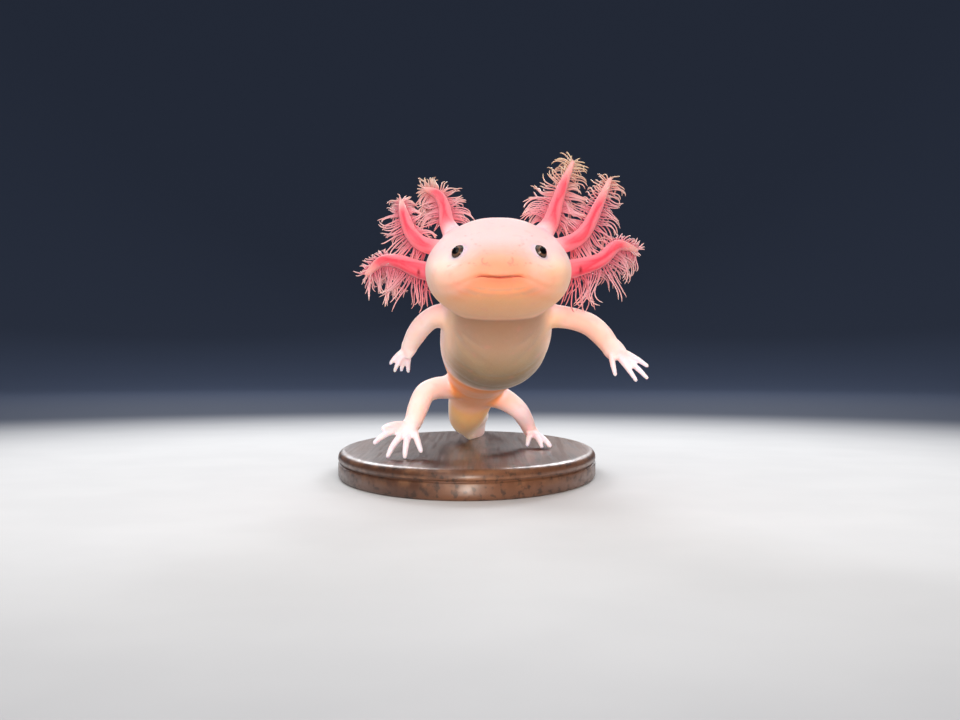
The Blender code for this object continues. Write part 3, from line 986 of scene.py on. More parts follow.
def head_masks(points, on_head, flesh):
    """The tones of the head, from the crown to the chin, several of them painted shade: a darker top against
    the light from above, and warm shade round and below the mouth, on the jaw and low on the cheeks.
    """
    out, back, up = head_places(points)
    height = up - mouth_height(out)
    to_mouth = np.sqrt((out / 1.5) ** 2 + (height + 0.4) ** 2 + (back / 2.2) ** 2)
    in_slit = bump((height + 0.03) / (0.16 - 0.018 * out), 1.0) * smoothstep(4.8, 3.4, out)
    # Partly painted shade: the warm band below the mouth is darkest just under the upper lip
    under_lip = bump(np.minimum(height + 0.3, 0.0), 0.8) * smoothstep(6.0, 1.5, out)
    # Painted light: the right side of the head gets half the warm tone of the left side, as more light falls
    # on it
    side_shade = np.where(points[:, 0] > SNOUT[0], 1.2, 0.6)
    cheek = smoothstep(5.0, 10.5, out) * smoothstep(5.0, -1.0, up) * smoothstep(21.0, 12.0, back)
    return {
        # Painted shade: the top of the head is darker and pinker than the pale skin, against the light that
        # falls on it from above
        "crown": on_head * smoothstep(1.5, 5.0, up) * flesh,
        # Partly painted shade: the warm orange round the mouth is partly the skin's tone and partly shade
        # where the snout turns under
        "snout": on_head * smoothstep(9.4, 2.0, to_mouth) * smoothstep(-4.2, -0.8, height) * flesh,
        # Partly painted shade: the jaw's warm orange is partly its own tone and partly warm shade and bounce
        # below the head
        "jaw": on_head * smoothstep(-0.3, -1.9, height) * smoothstep(25.0, 14.0, back) * flesh,
        # Partly painted shade: the cheeks' warm tone is deeper low on the sides
        "cheek_side": on_head * np.minimum(cheek * side_shade, 1.0) * flesh,
        "under_lip": on_head * under_lip * (height < 0.4),
        # Partly painted shade: the mouth's slit is dark red, the red of the mouth darkened as shade in the
        # slit
        "lip": in_slit * (back < 6.0),
        "pore": np.maximum(pore_mask(points) * smoothstep(-0.4, 0.2, height), 0.9 * nostril_curl(points)),
        "gill_root": on_head * smoothstep(0.3, 1.0, spread_of_gills(points)),
        "beside_eye": beside_eye_mask(points),
    }


def trunk_masks(places, on_core, facing_down):
    """The tones of the trunk: the chest in painted shade under the head, the belly where the gut shows
    through and painted shade darkens it, a painted glow along its edges, painted shade in its folds, and a
    painted warm glow at the hips.
    """
    station, across, above = places
    zone = belly_zone(station, above) * on_core
    belly = smoothstep(1.3, 3.2, station) * smoothstep(4.9, 3.9, station)
    belly *= smoothstep(1.1, 0.6, np.abs(across))
    # Painted light: a warm glow along the belly's sides, as of light through the thin skin there
    edge = bump(above + 0.42, 0.16) * smoothstep(0.8, 1.5, station) * smoothstep(4.6, 3.8, station)
    # Painted shade in the fold across the belly, and over the belly's lower end, where the gut also shows
    # through
    bowed = station + 0.3 * across**2
    line = 0.5 * bump(bowed - 3.2, 0.12) * (0.6 + 0.4 * np.sin(across * 9.0))
    hollow = smoothstep(2.9, 3.7, bowed + 0.06 * np.sin(across * 7.0))
    # Painted light: a warm orange glow on the downward-facing skin below the hips, as of light through the
    # flesh
    loins = smoothstep(4.1, 4.9, station) * smoothstep(7.8, 6.4, station) * facing_down
    loins *= smoothstep(0.5, -0.4, above) * smoothstep(1.4, 1.1, np.hypot(across, above))
    return {
        # Painted shade: the throat and chest are dark brown where the head shades them
        "chest": smoothstep(3.6, 1.2, station) * zone,
        # Partly painted shade: the belly is olive brown where the gut shows through, darkened further as
        # shade below
        "belly": belly * zone,
        "belly_edge": edge * on_core,
        "crease": np.maximum(line, hollow) * belly * zone,
        "loins": loins,
    }


def tail_masks(points, normals, places, on_head):
    """A painted warm glow on the front of the tail's root, where it faces forward and down, and the thin
    fins.
    """
    station, across, above = places
    # Painted light: the front of the tail's root gets a bright warm glow
    root = smoothstep(34.0, 10.0, points[:, 1]) * smoothstep(-9.0, -6.0, points[:, 1])
    root *= smoothstep(18.0, 14.5, points[:, 2]) * smoothstep(6.4, 4.6, np.abs(points[:, 0] - 1.2))
    root *= smoothstep(0.7, -0.2, normals[:, 1] + 0.6 * normals[:, 2])
    fin = smoothstep(1.02, 1.3, np.abs(above)) * smoothstep(0.9, 0.4, np.abs(across))
    fin *= smoothstep(3.0, 5.0, station)
    return {"tail_root": root, "fin": fin * (1.0 - on_head) * (1.0 - root)}


def limb_tone_and_light(points, normals):
    """How rosy the limbs are: the left ones all round, the right ones less, and all of them paler on top; the
    paler tops and the paler right limbs are painted light.
    """
    right = 0.1 + 0.35 * smoothstep(24.0, 19.0, points[:, 2])
    # Painted light: the right limbs stay paler, as more light falls on them
    rosy = np.where(points[:, 0] < SNOUT[0], right, 1.0)
    return rosy * (1.0 - 0.7 * smoothstep(0.15, 0.8, normals[:, 2]))


def skin_masks(points, normals):
    """Where each of the skin's tones lies, from 0 to 1 at each point."""
    gill, vessel, tip = gill_masks(points)
    flesh = 1.0 - gill
    on_head = head_share(points)
    places = spine_places(points)
    _, across, above = places
    on_core = smoothstep(1.35, 1.12, np.hypot(across, above)) * (1.0 - on_head)
    on_limb = (1.0 - on_core) * (1.0 - on_head)
    facing_down = smoothstep(0.25, -0.75, normals[:, 2])
    spared = on_limb * np.where(points[:, 0] < SNOUT[0], 0.75, 0.45)
    flank = smoothstep(-0.5, -0.22, above) * on_core
    return {
        # Painted shade: skin that faces down is darker and warmer. There is less on the flanks and limbs, and
        # least on the right limbs, where more light falls.
        "underside": facing_down * flesh * (1.0 - spared) * (1.0 - 0.6 * flank),
        "limb": on_limb * flesh * limb_tone_and_light(points, normals),
        "paw": paw_mask(points),
        "gill": gill,
        "vessel": np.minimum(vessel, 1.0),
        "gill_tip": tip,
        "slit": slit_mask(points),
        **head_masks(points, on_head, flesh),
        **trunk_masks(places, on_core, facing_down),
        **tail_masks(points, normals, places, on_head),
    }


# ----------------------------------------------------------------------------------------------------------
# Materials


def tone(red, green, blue):
    """A colour given as on a screen, from 0 to 255, as the linear colour that a shader takes."""
    def linear(value):
        value /= 255.0
        return value / 12.92 if value <= 0.04045 else ((value + 0.055) / 1.055) ** 2.4
    return tuple(linear(value) for value in (red, green, blue))


class Nodes:
    """A material's node tree, built from its colour towards its shader."""

    def __init__(self, name):
        self.material = bpy.data.materials.new(name)
        self.material.use_nodes = True
        self.tree = self.material.node_tree
        self.shader = self.tree.nodes["Principled BSDF"]
        self.place = self.node("ShaderNodeTexCoord").outputs["Object"]

    def node(self, kind, **values):
        node = self.tree.nodes.new(kind)
        for name, value in values.items():
            setattr(node, name, value)
        return node

    def link(self, source, target):
        self.tree.links.new(source, target)

    def set(self, **values):
        for name, value in values.items():
            self.shader.inputs[name.replace("_", " ").title().replace("Ior", "IOR")].default_value = value

    def attribute(self, name):
        return self.node("ShaderNodeAttribute", attribute_name=name).outputs["Fac"]

    def noise(self, scale, detail=3.0, stretch=(1.0, 1.0, 1.0)):
        """A pattern whose features are about 1/scale metres across."""
        mapping = self.node("ShaderNodeMapping")
        mapping.inputs["Scale"].default_value = stretch
        self.link(self.place, mapping.inputs["Vector"])
        texture = self.node("ShaderNodeTexNoise")
        texture.inputs["Scale"].default_value = scale
        texture.inputs["Detail"].default_value = detail
        self.link(mapping.outputs["Vector"], texture.inputs["Vector"])
        return texture.outputs[0]

    def math(self, operation, first, second):
        node = self.node("ShaderNodeMath", operation=operation, use_clamp=True)
        for socket, value in zip(node.inputs, (first, second)):
            if isinstance(value, (int, float)):
                socket.default_value = value
            else:
                self.link(value, socket)
        return node.outputs[0]

    def spread(self, value, low, high, to_low=0.0, to_high=1.0):
        node = self.node("ShaderNodeMapRange", interpolation_type="SMOOTHSTEP")
        for name, number in (("From Min", low), ("From Max", high), ("To Min", to_low), ("To Max", to_high)):
            node.inputs[name].default_value = number
        self.link(value, node.inputs["Value"])
        return node.outputs["Result"]

    def mix(self, factor, first, second):
        """A colour between two, each a socket or a plain colour."""
        node = self.node("ShaderNodeMix", data_type="RGBA")
        self.link(factor, node.inputs["Factor"])
        for name, value in (("A", first), ("B", second)):
            socket = next(item for item in node.inputs if item.name == name and item.type == "RGBA")
            if isinstance(value, bpy.types.NodeSocket):
                self.link(value, socket)
            else:
                socket.default_value = (*value[:3], 1.0)
        return next(item for item in node.outputs if item.type == "RGBA")

    def bump(self, height, distance, strength=1.0):
        node = self.node("ShaderNodeBump")
        node.inputs["Strength"].default_value = strength
        node.inputs["Distance"].default_value = distance
        self.link(height, node.inputs["Height"])
        self.link(node.outputs["Normal"], self.shader.inputs["Normal"])


def skin_material(colours):
    """Wet, thin skin: pale pink over warm flesh, with the tones of each part of the body laid over it; among
    them are painted shade on skin that faces down, on the head, under the head and in the belly's folds, and
    a painted warm glow along the belly's edges, at the hips and at the tail's root.
    """
    nodes = Nodes("skin")
    colour = nodes.mix(nodes.spread(nodes.noise(160.0), 0.35, 0.7), colours.pale, colours.blush)
    for mask, shade, share in (
        # painted shade on skin that faces down
        ("underside", colours.underside, 0.7),
        # painted shade on the top of the head
        ("crown", colours.crown, 1.0),
        # the limbs' rosy tone, with painted light on their tops and on the right limbs
        ("limb", colours.limb, 0.8),
        # partly painted shade on the cheeks, less on the right side
        ("cheek_side", colours.cheek, 0.75),
        # partly painted warm shade on the jaw
        ("jaw", colours.jaw, 0.8),
        # partly painted shade round the mouth
        ("snout", colours.mouth_tone_and_shade, 0.9),
        # painted shade under the head
        ("chest", colours.chest, 0.92),
        # the gut showing through, with painted shade
        ("belly", colours.belly, 0.85),
        # painted glow along the belly's sides
        ("belly_edge", colours.belly_edge, 0.55),
        # painted shade in the belly's folds and over its lower end
        ("crease", colours.belly_crease_shade, 0.8),
        ("fin", colours.fin, 0.5),
        # painted warm glow on the tail's root
        ("tail_root", colours.tail_root, 1.0),
        # painted warm glow below the hips
        ("loins", colours.loins, 0.95),
        ("paw", colours.paw, 0.75),
        ("gill_root", colours.gill_root, 0.6),
        ("gill", colours.gill, 1.0),
        # the vessels, with painted shade along the lower edge of the bottom stalks
        ("vessel", colours.vessel, 0.9),
        ("gill_tip", colours.gill_tip, 0.6),
        # partly painted shade under the upper lip
        ("under_lip", colours.under_lip, 0.7),
        ("beside_eye", colours.beside_eye, 0.6),
        ("pore", colours.pore, 0.65),
        # partly painted shade in the mouth's slit
        ("lip", colours.lip, 1.0),
        # painted shade of the gill slit's opening
        ("slit", colours.slit, 1.0),
    ):
        colour = nodes.mix(nodes.math("MULTIPLY", nodes.attribute(mask), share), colour, shade)
    veins = nodes.math("MULTIPLY", nodes.spread(nodes.noise(420.0, 6.0), 0.56, 0.72), 0.14)
    colour = nodes.mix(veins, colour, colours.blood)
    nodes.link(colour, nodes.shader.inputs["Base Color"])
    roughness = nodes.spread(nodes.noise(900.0), 0.3, 0.75, 0.48, 0.62)
    nodes.link(roughness, nodes.shader.inputs["Roughness"])
    nodes.set(subsurface_weight=0.45, subsurface_radius=(1.0, 0.4, 0.25), subsurface_scale=0.0017)
    nodes.set(coat_weight=0.03, coat_roughness=0.35, specular_ior_level=0.2, sheen_weight=0.2)
    nodes.set(sheen_roughness=0.4)
    grain = nodes.math("ADD", nodes.noise(1900.0, 2.0), nodes.math("MULTIPLY", nodes.noise(5200.0, 2.0), 0.5))
    nodes.bump(grain, 0.00006, 0.6)
    return nodes.material


def filament_material(colours):
    """The fine filaments: red at the root, then dusty rose, pale at the ends, creamy on the highest, and
    darker in the back layers as painted shade.
    """
    nodes = Nodes("gill_filament")
    reach = nodes.attribute("reach")
    lock = nodes.attribute("lock")
    colour = nodes.mix(nodes.spread(reach, 0.0, 0.6), colours.filament_root, colours.filament)
    axes = nodes.node("ShaderNodeSeparateXYZ")
    nodes.link(nodes.place, axes.inputs[0])
    height = axes.outputs["Z"]
    ends = nodes.mix(nodes.spread(height, 0.055, 0.067), colours.filament_tip, colours.filament_crest)
    high = nodes.math("MULTIPLY", nodes.spread(height, 0.056, 0.067), 0.75)
    colour = nodes.mix(high, colour, colours.filament_crest)
    colour = nodes.mix(nodes.spread(reach, 0.5, 1.0, 0.0, 0.75), colour, ends)
    # Painted shade: the back layers of the fringe are darker, with some play from lock to lock
    colour = nodes.mix(nodes.math("MULTIPLY", lock, 0.45), colour, colours.filament_shade)
    near_head = nodes.spread(nodes.attribute("lean"), 0.12, 0.42, 0.6, 0.0)
    colour = nodes.mix(near_head, colour, colours.filament_blood)
    nodes.link(colour, nodes.shader.inputs["Base Color"])
    nodes.link(nodes.spread(nodes.noise(1500.0), 0.3, 0.7, 0.36, 0.5), nodes.shader.inputs["Roughness"])
    nodes.set(subsurface_weight=0.2, subsurface_radius=(1.0, 0.4, 0.3), subsurface_scale=0.0006)
    nodes.set(coat_weight=0.1, coat_roughness=0.2, specular_ior_level=0.35)
    return nodes.material


def eye_material(colours):
    """A polished eye: a black pupil, a brown ring, a dark speckled iris and a pale rim.

    The angle is measured from the pupil's middle, as a share of a right angle.
    """
    nodes = Nodes("eye")
    angle = nodes.attribute("angle")
    streaks = nodes.noise(5200.0, 3.0)
    iris = nodes.mix(nodes.spread(streaks, 0.35, 0.7), colours.iris_dark, colours.iris_light)
    ring = nodes.spread(angle, 0.27, 0.33)
    colour = nodes.mix(ring, colours.pupil, iris)
    edge = nodes.math("MULTIPLY", nodes.spread(angle, 0.44, 0.6), 0.5)
    colour = nodes.mix(edge, colour, colours.iris_dark)
    inner = nodes.math("MULTIPLY", nodes.spread(angle, 0.28, 0.32), nodes.spread(angle, 0.46, 0.34))
    colour = nodes.mix(nodes.math("MULTIPLY", inner, 0.7), colour, colours.eye_ring)
    colour = nodes.mix(nodes.spread(angle, 0.78, 0.92), colour, colours.eye_rim)
    nodes.link(colour, nodes.shader.inputs["Base Color"])
    nodes.link(nodes.spread(streaks, 0.2, 0.8, 0.08, 0.2), nodes.shader.inputs["Roughness"])
    nodes.set(coat_weight=0.4, coat_roughness=0.06, coat_ior=1.34, specular_ior_level=0.2)
    nodes.bump(nodes.math("MULTIPLY", streaks, nodes.spread(angle, 0.4, 0.5)), 0.00003, 0.4)
    return nodes.material


def wood_material(colours):
    """Dark stained wood with its grain along the base, lighter where the rim is rubbed."""
    nodes = Nodes("base_wood")
    rings = nodes.noise(55.0, 4.0, (1.0, 0.09, 1.0))
    pores = nodes.noise(900.0, 3.0, (1.0, 0.035, 1.0))
    colour = nodes.mix(nodes.spread(rings, 0.38, 0.62), colours.wood, colours.wood_light)
    fine = nodes.math("MULTIPLY", nodes.spread(pores, 0.52, 0.66), 0.7)
    colour = nodes.mix(fine, colour, colours.wood_pore)
    worn = nodes.math("MULTIPLY", nodes.attribute("rim"), nodes.spread(nodes.noise(300.0), 0.4, 0.65))
    colour = nodes.mix(nodes.math("MULTIPLY", worn, 0.5), colour, colours.wood_worn)
    nodes.link(colour, nodes.shader.inputs["Base Color"])
    nodes.link(nodes.spread(pores, 0.3, 0.7, 0.34, 0.52), nodes.shader.inputs["Roughness"])
    nodes.set(coat_weight=0.25, coat_roughness=0.25)
    nodes.bump(pores, 0.00005, 0.5)
    return nodes.material


def backdrop_material(colours):
    nodes = Nodes("studio_paper")
    away = nodes.node("ShaderNodeVectorMath")
    away.operation = "LENGTH"
    nodes.link(nodes.place, away.inputs[0])
    rise = nodes.spread(away.outputs["Value"], 0.1, 0.32)
    colour = nodes.mix(rise, colours.floor, colours.wall)
    faint = nodes.math("MULTIPLY", nodes.spread(nodes.noise(40.0), 0.3, 0.7), 0.04)
    colour = nodes.mix(faint, colour, colours.wall)
    nodes.link(colour, nodes.shader.inputs["Base Color"])
    nodes.set(roughness=0.85, specular_ior_level=0.2)
    return nodes.material


# ----------------------------------------------------------------------------------------------------------
# Pieces


def write_mask(mesh, name, values):
    attribute = mesh.attributes.new(name, "FLOAT", "POINT")
    attribute.data.foreach_set("value", np.clip(values, 0.0, 1.0).astype(np.float32))


def make_skin(settings, colours):
    mesh = shape_skin(settings)
    points = read_vectors(mesh.vertices, "co")
    normals = read_vectors(mesh.vertex_normals, "vector")
    for name, values in skin_masks(points, normals).items():
        write_mask(mesh, name, values)
    mesh.transform(Matrix.Scale(MM, 4))
    mesh.shade_smooth()
    kept = {"eye_left", "eye_right", "stand_base"}
    flesh = sorted(set(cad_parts) - kept)
    return finish_piece("skin", new_object("skin", mesh), skin_material(colours), "skin", *flesh)


def stray(draw):
    """A small step in any direction."""
    return Vector((draw.gauss(0, 1), draw.gauss(0, 1), draw.gauss(0, 1)))


def filament_path(root, way, length, droop, swing, phase, curl):
    """Points along one filament: it leaves its root that way, arches over, waves and curls at its end."""
    points = [root]
    direction = way.normalized()
    step = length / (FILAMENT_POINTS - 1)
    for index in range(1, FILAMENT_POINTS):
        reach = index / (FILAMENT_POINTS - 1)
        turn = swing * math.cos(phase + 5.0 * reach) + curl * reach**3
        direction = (direction + turn + Vector((0.0, 0.0, -droop))).normalized()
        points.append(points[-1] + direction * step)
    return points


def lock_paths(draw, roots, ways, tangent, back, length, droop):
    """A lock of filaments that share one flow and draw together towards their ends, where they part again."""
    swing = tangent * draw.gauss(0.0, 0.16) + back * abs(draw.gauss(0.0, 0.05))
    curl = tangent * draw.gauss(0.0, 0.34) + back * abs(draw.gauss(0.0, 0.2))
    phase = draw.uniform(-0.8, 3.0)
    paths = []
    for root, way in zip(roots, ways):
        own = stray(draw)
        size = length * draw.uniform(0.8, 1.12)
        paths.append(filament_path(
            root, way + own * 0.04, size, droop * draw.uniform(0.8, 1.2), swing + own * 0.02,
            phase + draw.uniform(-0.3, 0.3), curl + own * 0.14,
        ))
    guide = paths[len(paths) // 2]
    hold = draw.uniform(-0.15, 0.5)
    for path in paths:
        for index, point in enumerate(path):
            reach = index / (FILAMENT_POINTS - 1)
            pull = hold * smoothstep(0.08, 0.7, reach) * (1.0 - 0.4 * smoothstep(0.78, 1.0, reach))
            path[index] = point.lerp(guide[index], float(pull))
    return paths


def lock_roots(stalk, places, sign, tilt, forward):
    """Where the filaments of a lock leave the stalk, which way each goes, and which way is back for them."""
    roots, ways = [], []
    for place in places:
        row = along(stalk, place)
        ahead = heading(stalk, place)
        side = ahead.cross(Vector((0, -1, 0))).normalized() * sign
        back = (Vector((0, 1, 0)) - ahead * ahead.y).normalized()
        outward = side * math.cos(tilt) + back * math.sin(tilt)
        roots.append(Vector(row[:3]) + outward * row[3] * 0.72)
        ways.append(outward + ahead * forward)
    return roots, ways, back


def layer_locks(draw, start, end, count):
    """Each lock's places along a stalk, with a little play in their spacing."""
    index = 0
    while index < count:
        members = min(draw.randint(2, LOCK_MOST), count - index)
        yield [
            start + (end - start) * (index + member + draw.uniform(0.3, 0.7)) / count
            for member in range(members)
        ]
        index += members


def fringe(name, per_layer, draw):
    """One gill's filaments: each one's path, its root's place along the gill and round it, and its tone,
    darker in the back layers as painted shade.
    """
    stalk = GILLS[name]
    last = len(stalk) - 1
    outwards = 1.0 if stalk[-1][0] > SNOUT[0] else -1.0
    sides = zip((0.0, 0.5), (-outwards, outwards), FRINGES[name], FRINGE_FLOW)
    for half_turn, sign, (length, start), (lift, droop) in sides:
        for layer, (turn, count_share, length_share) in enumerate(FRINGE_LAYERS):
            count = round(per_layer * count_share * (last - start) / (last - 1.0))
            sway = draw.uniform(0.0, math.tau)
            for places in layer_locks(draw, start, last - 0.03, count):
                middle = places[len(places) // 2]
                lean = middle / last
                tilt = turn + draw.uniform(0.04, 0.26)
                flow = 0.14 * math.sin(middle * 2.7 + sway) + draw.gauss(0.0, 0.07)
                roots, ways, back = lock_roots(stalk, places, sign, tilt, lift + flow + lean**3)
                half = along(stalk, middle)[3]
                size = (half + length * (1.0 - 0.45 * lean**2)) * length_share * draw.uniform(0.84, 1.08)
                size *= 0.7 + 0.3 * float(smoothstep(-0.05, 0.25, (middle - start) / (last - start)))
                tangent = heading(stalk, middle)
                paths = lock_paths(draw, roots, ways, tangent, back, size, droop * (1.0 - 0.6 * lean))
                # Each lock's tone, darker for the layers further back as painted shade
                lock_tone_and_depth_shade = 0.25 * draw.random() + 0.45 * layer
                for place, path in zip(places, paths):
                    tone_and_depth_shade = min(lock_tone_and_depth_shade + 0.5 * draw.random(), 1.0)
                    yield path, place / last, half_turn + turn * 0.3, tone_and_depth_shade


def crest(name, per_layer, draw):
    """The fan of short filaments at the end of one gill, told in the same way."""
    stalk = GILLS[name]
    last = len(stalk) - 1
    count = per_layer // 2
    for index in range(count):
        place = last - 0.7 * draw.random() ** 1.5
        tangent = heading(stalk, place)
        side = tangent.cross(Vector((0, -1, 0))).normalized()
        own = stray(draw)
        turn = (index + draw.random()) / count * 2.0 - 1.0
        way = tangent * math.cos(turn) + side * math.sin(turn) + own * 0.16
        root = Vector(along(stalk, place)[:3])
        curl = side * turn * draw.uniform(-0.1, 0.3) + own * 0.08
        length = draw.uniform(*CREST_LENGTH)
        path = filament_path(root, way, length, 0.02, side * draw.gauss(0, 0.1), 1.5, curl)
        yield path, 1.0, index / per_layer, 0.5 * draw.random()


def filaments_curve(name, paths, half):
    curve = bpy.data.curves.new(name, "CURVE")
    curve.dimensions = "3D"
    curve.bevel_depth = half
    curve.bevel_resolution = 1
    for points in paths:
        spline = curve.splines.new("POLY")
        spline.points.add(len(points) - 1)
        for index, point in enumerate(points):
            reach = index / (len(points) - 1)
            spline.points[index].co = (*point, 1.0)
            spline.points[index].radius = (1.05 - 0.2 * reach) * (1.1 - reach**12) ** 0.5
    return curve


def write_filament_maps(mesh, roots, locks, sides):
    """The masks that colour the filaments, and the OFBake map.

    On the map each filament is a small patch at its root's place on the gill's own unwrap.
    """
    vertex = np.arange(len(mesh.vertices))
    filament, inside = np.divmod(vertex, FILAMENT_POINTS * sides)
    root = np.array(roots)[filament]
    reach = inside // sides / (FILAMENT_POINTS - 1)
    turn = vertex % sides / sides
    place = 0.02 + 0.95 * root + BAKE_PATCH * np.stack((reach, turn), axis=1)
    corners = np.empty(len(mesh.loops), np.int32)
    mesh.loops.foreach_get("vertex_index", corners)
    for layer in list(mesh.uv_layers):
        mesh.uv_layers.remove(layer)
    layer = mesh.uv_layers.new(name="OFBake")
    layer.uv.foreach_set("vector", place[corners].astype(np.float32).ravel())
    write_mask(mesh, "reach", reach)
    # Each filament's tone, with the painted shade of the back layers
    write_mask(mesh, "lock", np.array(locks)[filament])
    write_mask(mesh, "lean", root[:, 0])


def make_gill_filaments(name, settings, material):
    """One gill's fine filaments, joined in one mesh."""
    draw = random.Random(f"{SEED} {name}")
    count = settings.filaments_per_layer
    made = [*fringe(name, count, draw), *crest(name, count, draw)]
    curve = filaments_curve(name, [path for path, _, _, _ in made], settings.filament_half)
    mesh = evaluated_mesh(new_object(name, curve))
    sides = len(mesh.vertices) // (FILAMENT_POINTS * len(made))
    if sides * FILAMENT_POINTS * len(made) != len(mesh.vertices):
        raise RuntimeError(f"{name}: the filaments' points don't match their paths")
    roots = [(lean, turn % 1.0) for _, lean, turn, _ in made]
    write_filament_maps(mesh, roots, [lock for _, _, _, lock in made], sides)
    mesh.transform(Matrix.Scale(MM, 4))
    mesh.shade_smooth()
    return finish_piece(name.replace("gill", "filaments"), new_object(name, mesh), material, "gill_skin")


def make_eye(word, centre, gaze, material):
    """An eyeball that bulges a little over its iris."""
    bm = bmesh.new()
    bmesh.ops.create_uvsphere(bm, u_segments=72, v_segments=48, radius=EYE_RADIUS)
    for vert in bm.verts:
        angle = math.degrees(vert.co.angle(Vector((0, 0, 1))))
        vert.co *= 1.0 + CORNEA_RISE * max(0.0, 1.0 - (angle / CORNEA_ANGLE) ** 2) ** 1.5
    turn = Vector(gaze).to_track_quat("Z", "Y").to_matrix().to_4x4()
    bmesh.ops.transform(bm, matrix=Matrix.Translation(Vector(centre)) @ turn, verts=bm.verts)
    mesh = mesh_from("eye", bm)
    offset = read_vectors(mesh.vertices, "co") - centre
    pupil = unit(np.array(PUPIL_FACING) * (np.sign(gaze[0]), 1.0, 1.0))
    angle = np.arccos(np.clip(unit(offset) @ pupil, -1.0, 1.0)) / (math.pi / 2)
    write_mask(mesh, "angle", angle)
    mesh.transform(Matrix.Scale(MM, 4))
    mesh.shade_smooth()
    return finish_piece("eyeball_" + word, new_object("eye", mesh), material, "eye", "eye_" + word)


def make_base(material):
    """An oval plate of wood with a bead and a rounded rim."""
    _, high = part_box("stand_base")
    half_width, half_length = high.x / MM, high.y / MM
    sections = [
        section((0, 0, height), (0, 0, 1), half_width - inset, half_length - inset, (0, 1, 0))
        for height, inset in BASE_PROFILE
    ]
    mesh = sweep(sections, 220)
    points = read_vectors(mesh.vertices, "co")
    across = np.hypot(points[:, 0] / half_width, points[:, 1] / half_length)
    rim = sum(bump(points[:, 2] - height, spread) for height, spread in BASE_RUBBED)
    write_mask(mesh, "rim", rim * (across > 0.9))
    mesh.transform(Matrix.Scale(MM, 4))
    mesh.shade_smooth()
    mesh.set_sharp_from_angle(angle=math.radians(38.0))
    return finish_piece("display_base", new_object("base", mesh), material, "base", "stand_base")


# ----------------------------------------------------------------------------------------------------------
# The studio


def make_backdrop(colours):
    """A round paper floor that curves up into a wall on every side."""
    bm = bmesh.new()
    floor, bend, wall = BACKDROP
    profile = [(0.0, 0.0), (floor, 0.0)]
    for step in range(1, 13):
        angle = math.pi / 2 * step / 12
        profile.append((floor + bend * math.sin(angle), bend * (1 - math.cos(angle))))
    profile.append((floor + bend, wall))
    verts = [bm.verts.new((out, 0.0, height)) for out, height in profile]
    edges = [bm.edges.new(pair) for pair in zip(verts, verts[1:])]
    bmesh.ops.spin(
        bm, geom=verts + edges, cent=(0, 0, 0), axis=(0, 0, 1), angle=math.tau, steps=96, use_merge=True
    )
    bmesh.ops.remove_doubles(bm, verts=bm.verts, dist=1e-5)
    bmesh.ops.reverse_faces(bm, faces=bm.faces)
    mesh = bpy.data.meshes.new("backdrop")
    bm.to_mesh(mesh)
    bm.free()
    mesh.shade_smooth()
    backdrop = new_object("backdrop", mesh)
    mesh.materials.append(backdrop_material(colours))
    backdrop.visible_diffuse = False


def aim(obj, place, target):
    obj.location = Vector(place)
    obj.rotation_euler = (Vector(target) - Vector(place)).to_track_quat("-Z", "Y").to_euler()
    bpy.context.scene.collection.objects.link(obj)


def hang_light(light, place, power, colour, target):
    light.energy = power
    light.color = colour
    aim(bpy.data.objects.new(light.name, light), place, target)


def make_lamp(name, place, size, power, colour, target):
    """A round, soft lamp."""
    lamp = bpy.data.lights.new(name, "AREA")
    lamp.shape = "DISK"
    lamp.size = size
    hang_light(lamp, place, power, colour, target)


def make_beam(name, place, angle, power, colour, target):
    """A narrow beam with a soft edge."""
    beam = bpy.data.lights.new(name, "SPOT")
    beam.spot_size = math.radians(angle)
    beam.spot_blend = 1.0
    beam.shadow_soft_size = 0.03
    hang_light(beam, place, power, colour, target)


def make_air(strength):
    """The faint light from all round."""
    world = bpy.data.worlds.new("studio")
    world.use_nodes = True
    background = world.node_tree.nodes["Background"]
    background.inputs["Color"].default_value = AIR_COLOUR
    background.inputs["Strength"].default_value = strength
    bpy.context.scene.world = world


def make_camera(place, lens):
    camera = bpy.data.cameras.new("camera")
    camera.sensor_width = 36.0
    camera.lens = lens
    camera.clip_start = 0.01
    camera.clip_end = 10.0
    obj = bpy.data.objects.new("camera", camera)
    aim(obj, place, Vector(place) + Vector((0, 1, 0)))
    bpy.context.scene.camera = obj


def make_studio(studio, colours):
    make_backdrop(colours)
    low, high = CAD_BOX
    for name, place, size, power, colour in LAMPS:
        make_lamp(name, place, size, power * studio.light, colour, (low + high) / 2)
    name, place, angle, power, colour = BEAM
    make_beam(name, place, angle, power * studio.light, colour, BEAM_TARGET)
    make_air(studio.fill)
    make_camera(studio.camera, studio.lens)
    bpy.context.scene.view_settings.view_transform = "Standard"


# ----------------------------------------------------------------------------------------------------------
# Settings, operators and panel


def shade(name, description, red, green, blue):
    return bpy.props.FloatVectorProperty(
        name=name, description=description, subtype="COLOR", size=3, min=0.0, max=1.0,
        default=tone(red, green, blue),
    )


class AxolotlSizes(bpy.types.PropertyGroup):
    """How finely the animal is made; lengths are in millimetres."""

    voxel: bpy.props.FloatProperty(
        name="Skin grain", description="Size of the grid that joins the skin's forms, in millimetres",
        default=0.25, min=0.15, max=1.0,
    )
    fillet_passes: bpy.props.IntProperty(
        name="Crease filling", description="How often the creases between the forms are smoothed",
        default=90, min=0,
    )
    triangles: bpy.props.IntProperty(
        name="Skin triangles", description="The most triangles that the skin is left with",
        default=194000, min=1000,
    )
    filaments_per_layer: bpy.props.IntProperty(
        name="Filaments per layer", description="How many filaments stand in each full layer along a gill",
        default=34, min=2,
    )
    filament_half: bpy.props.FloatProperty(
        name="Filament half thickness", description="Half a filament's thickness, in millimetres",
        default=0.13, min=0.05, max=0.5,
    )


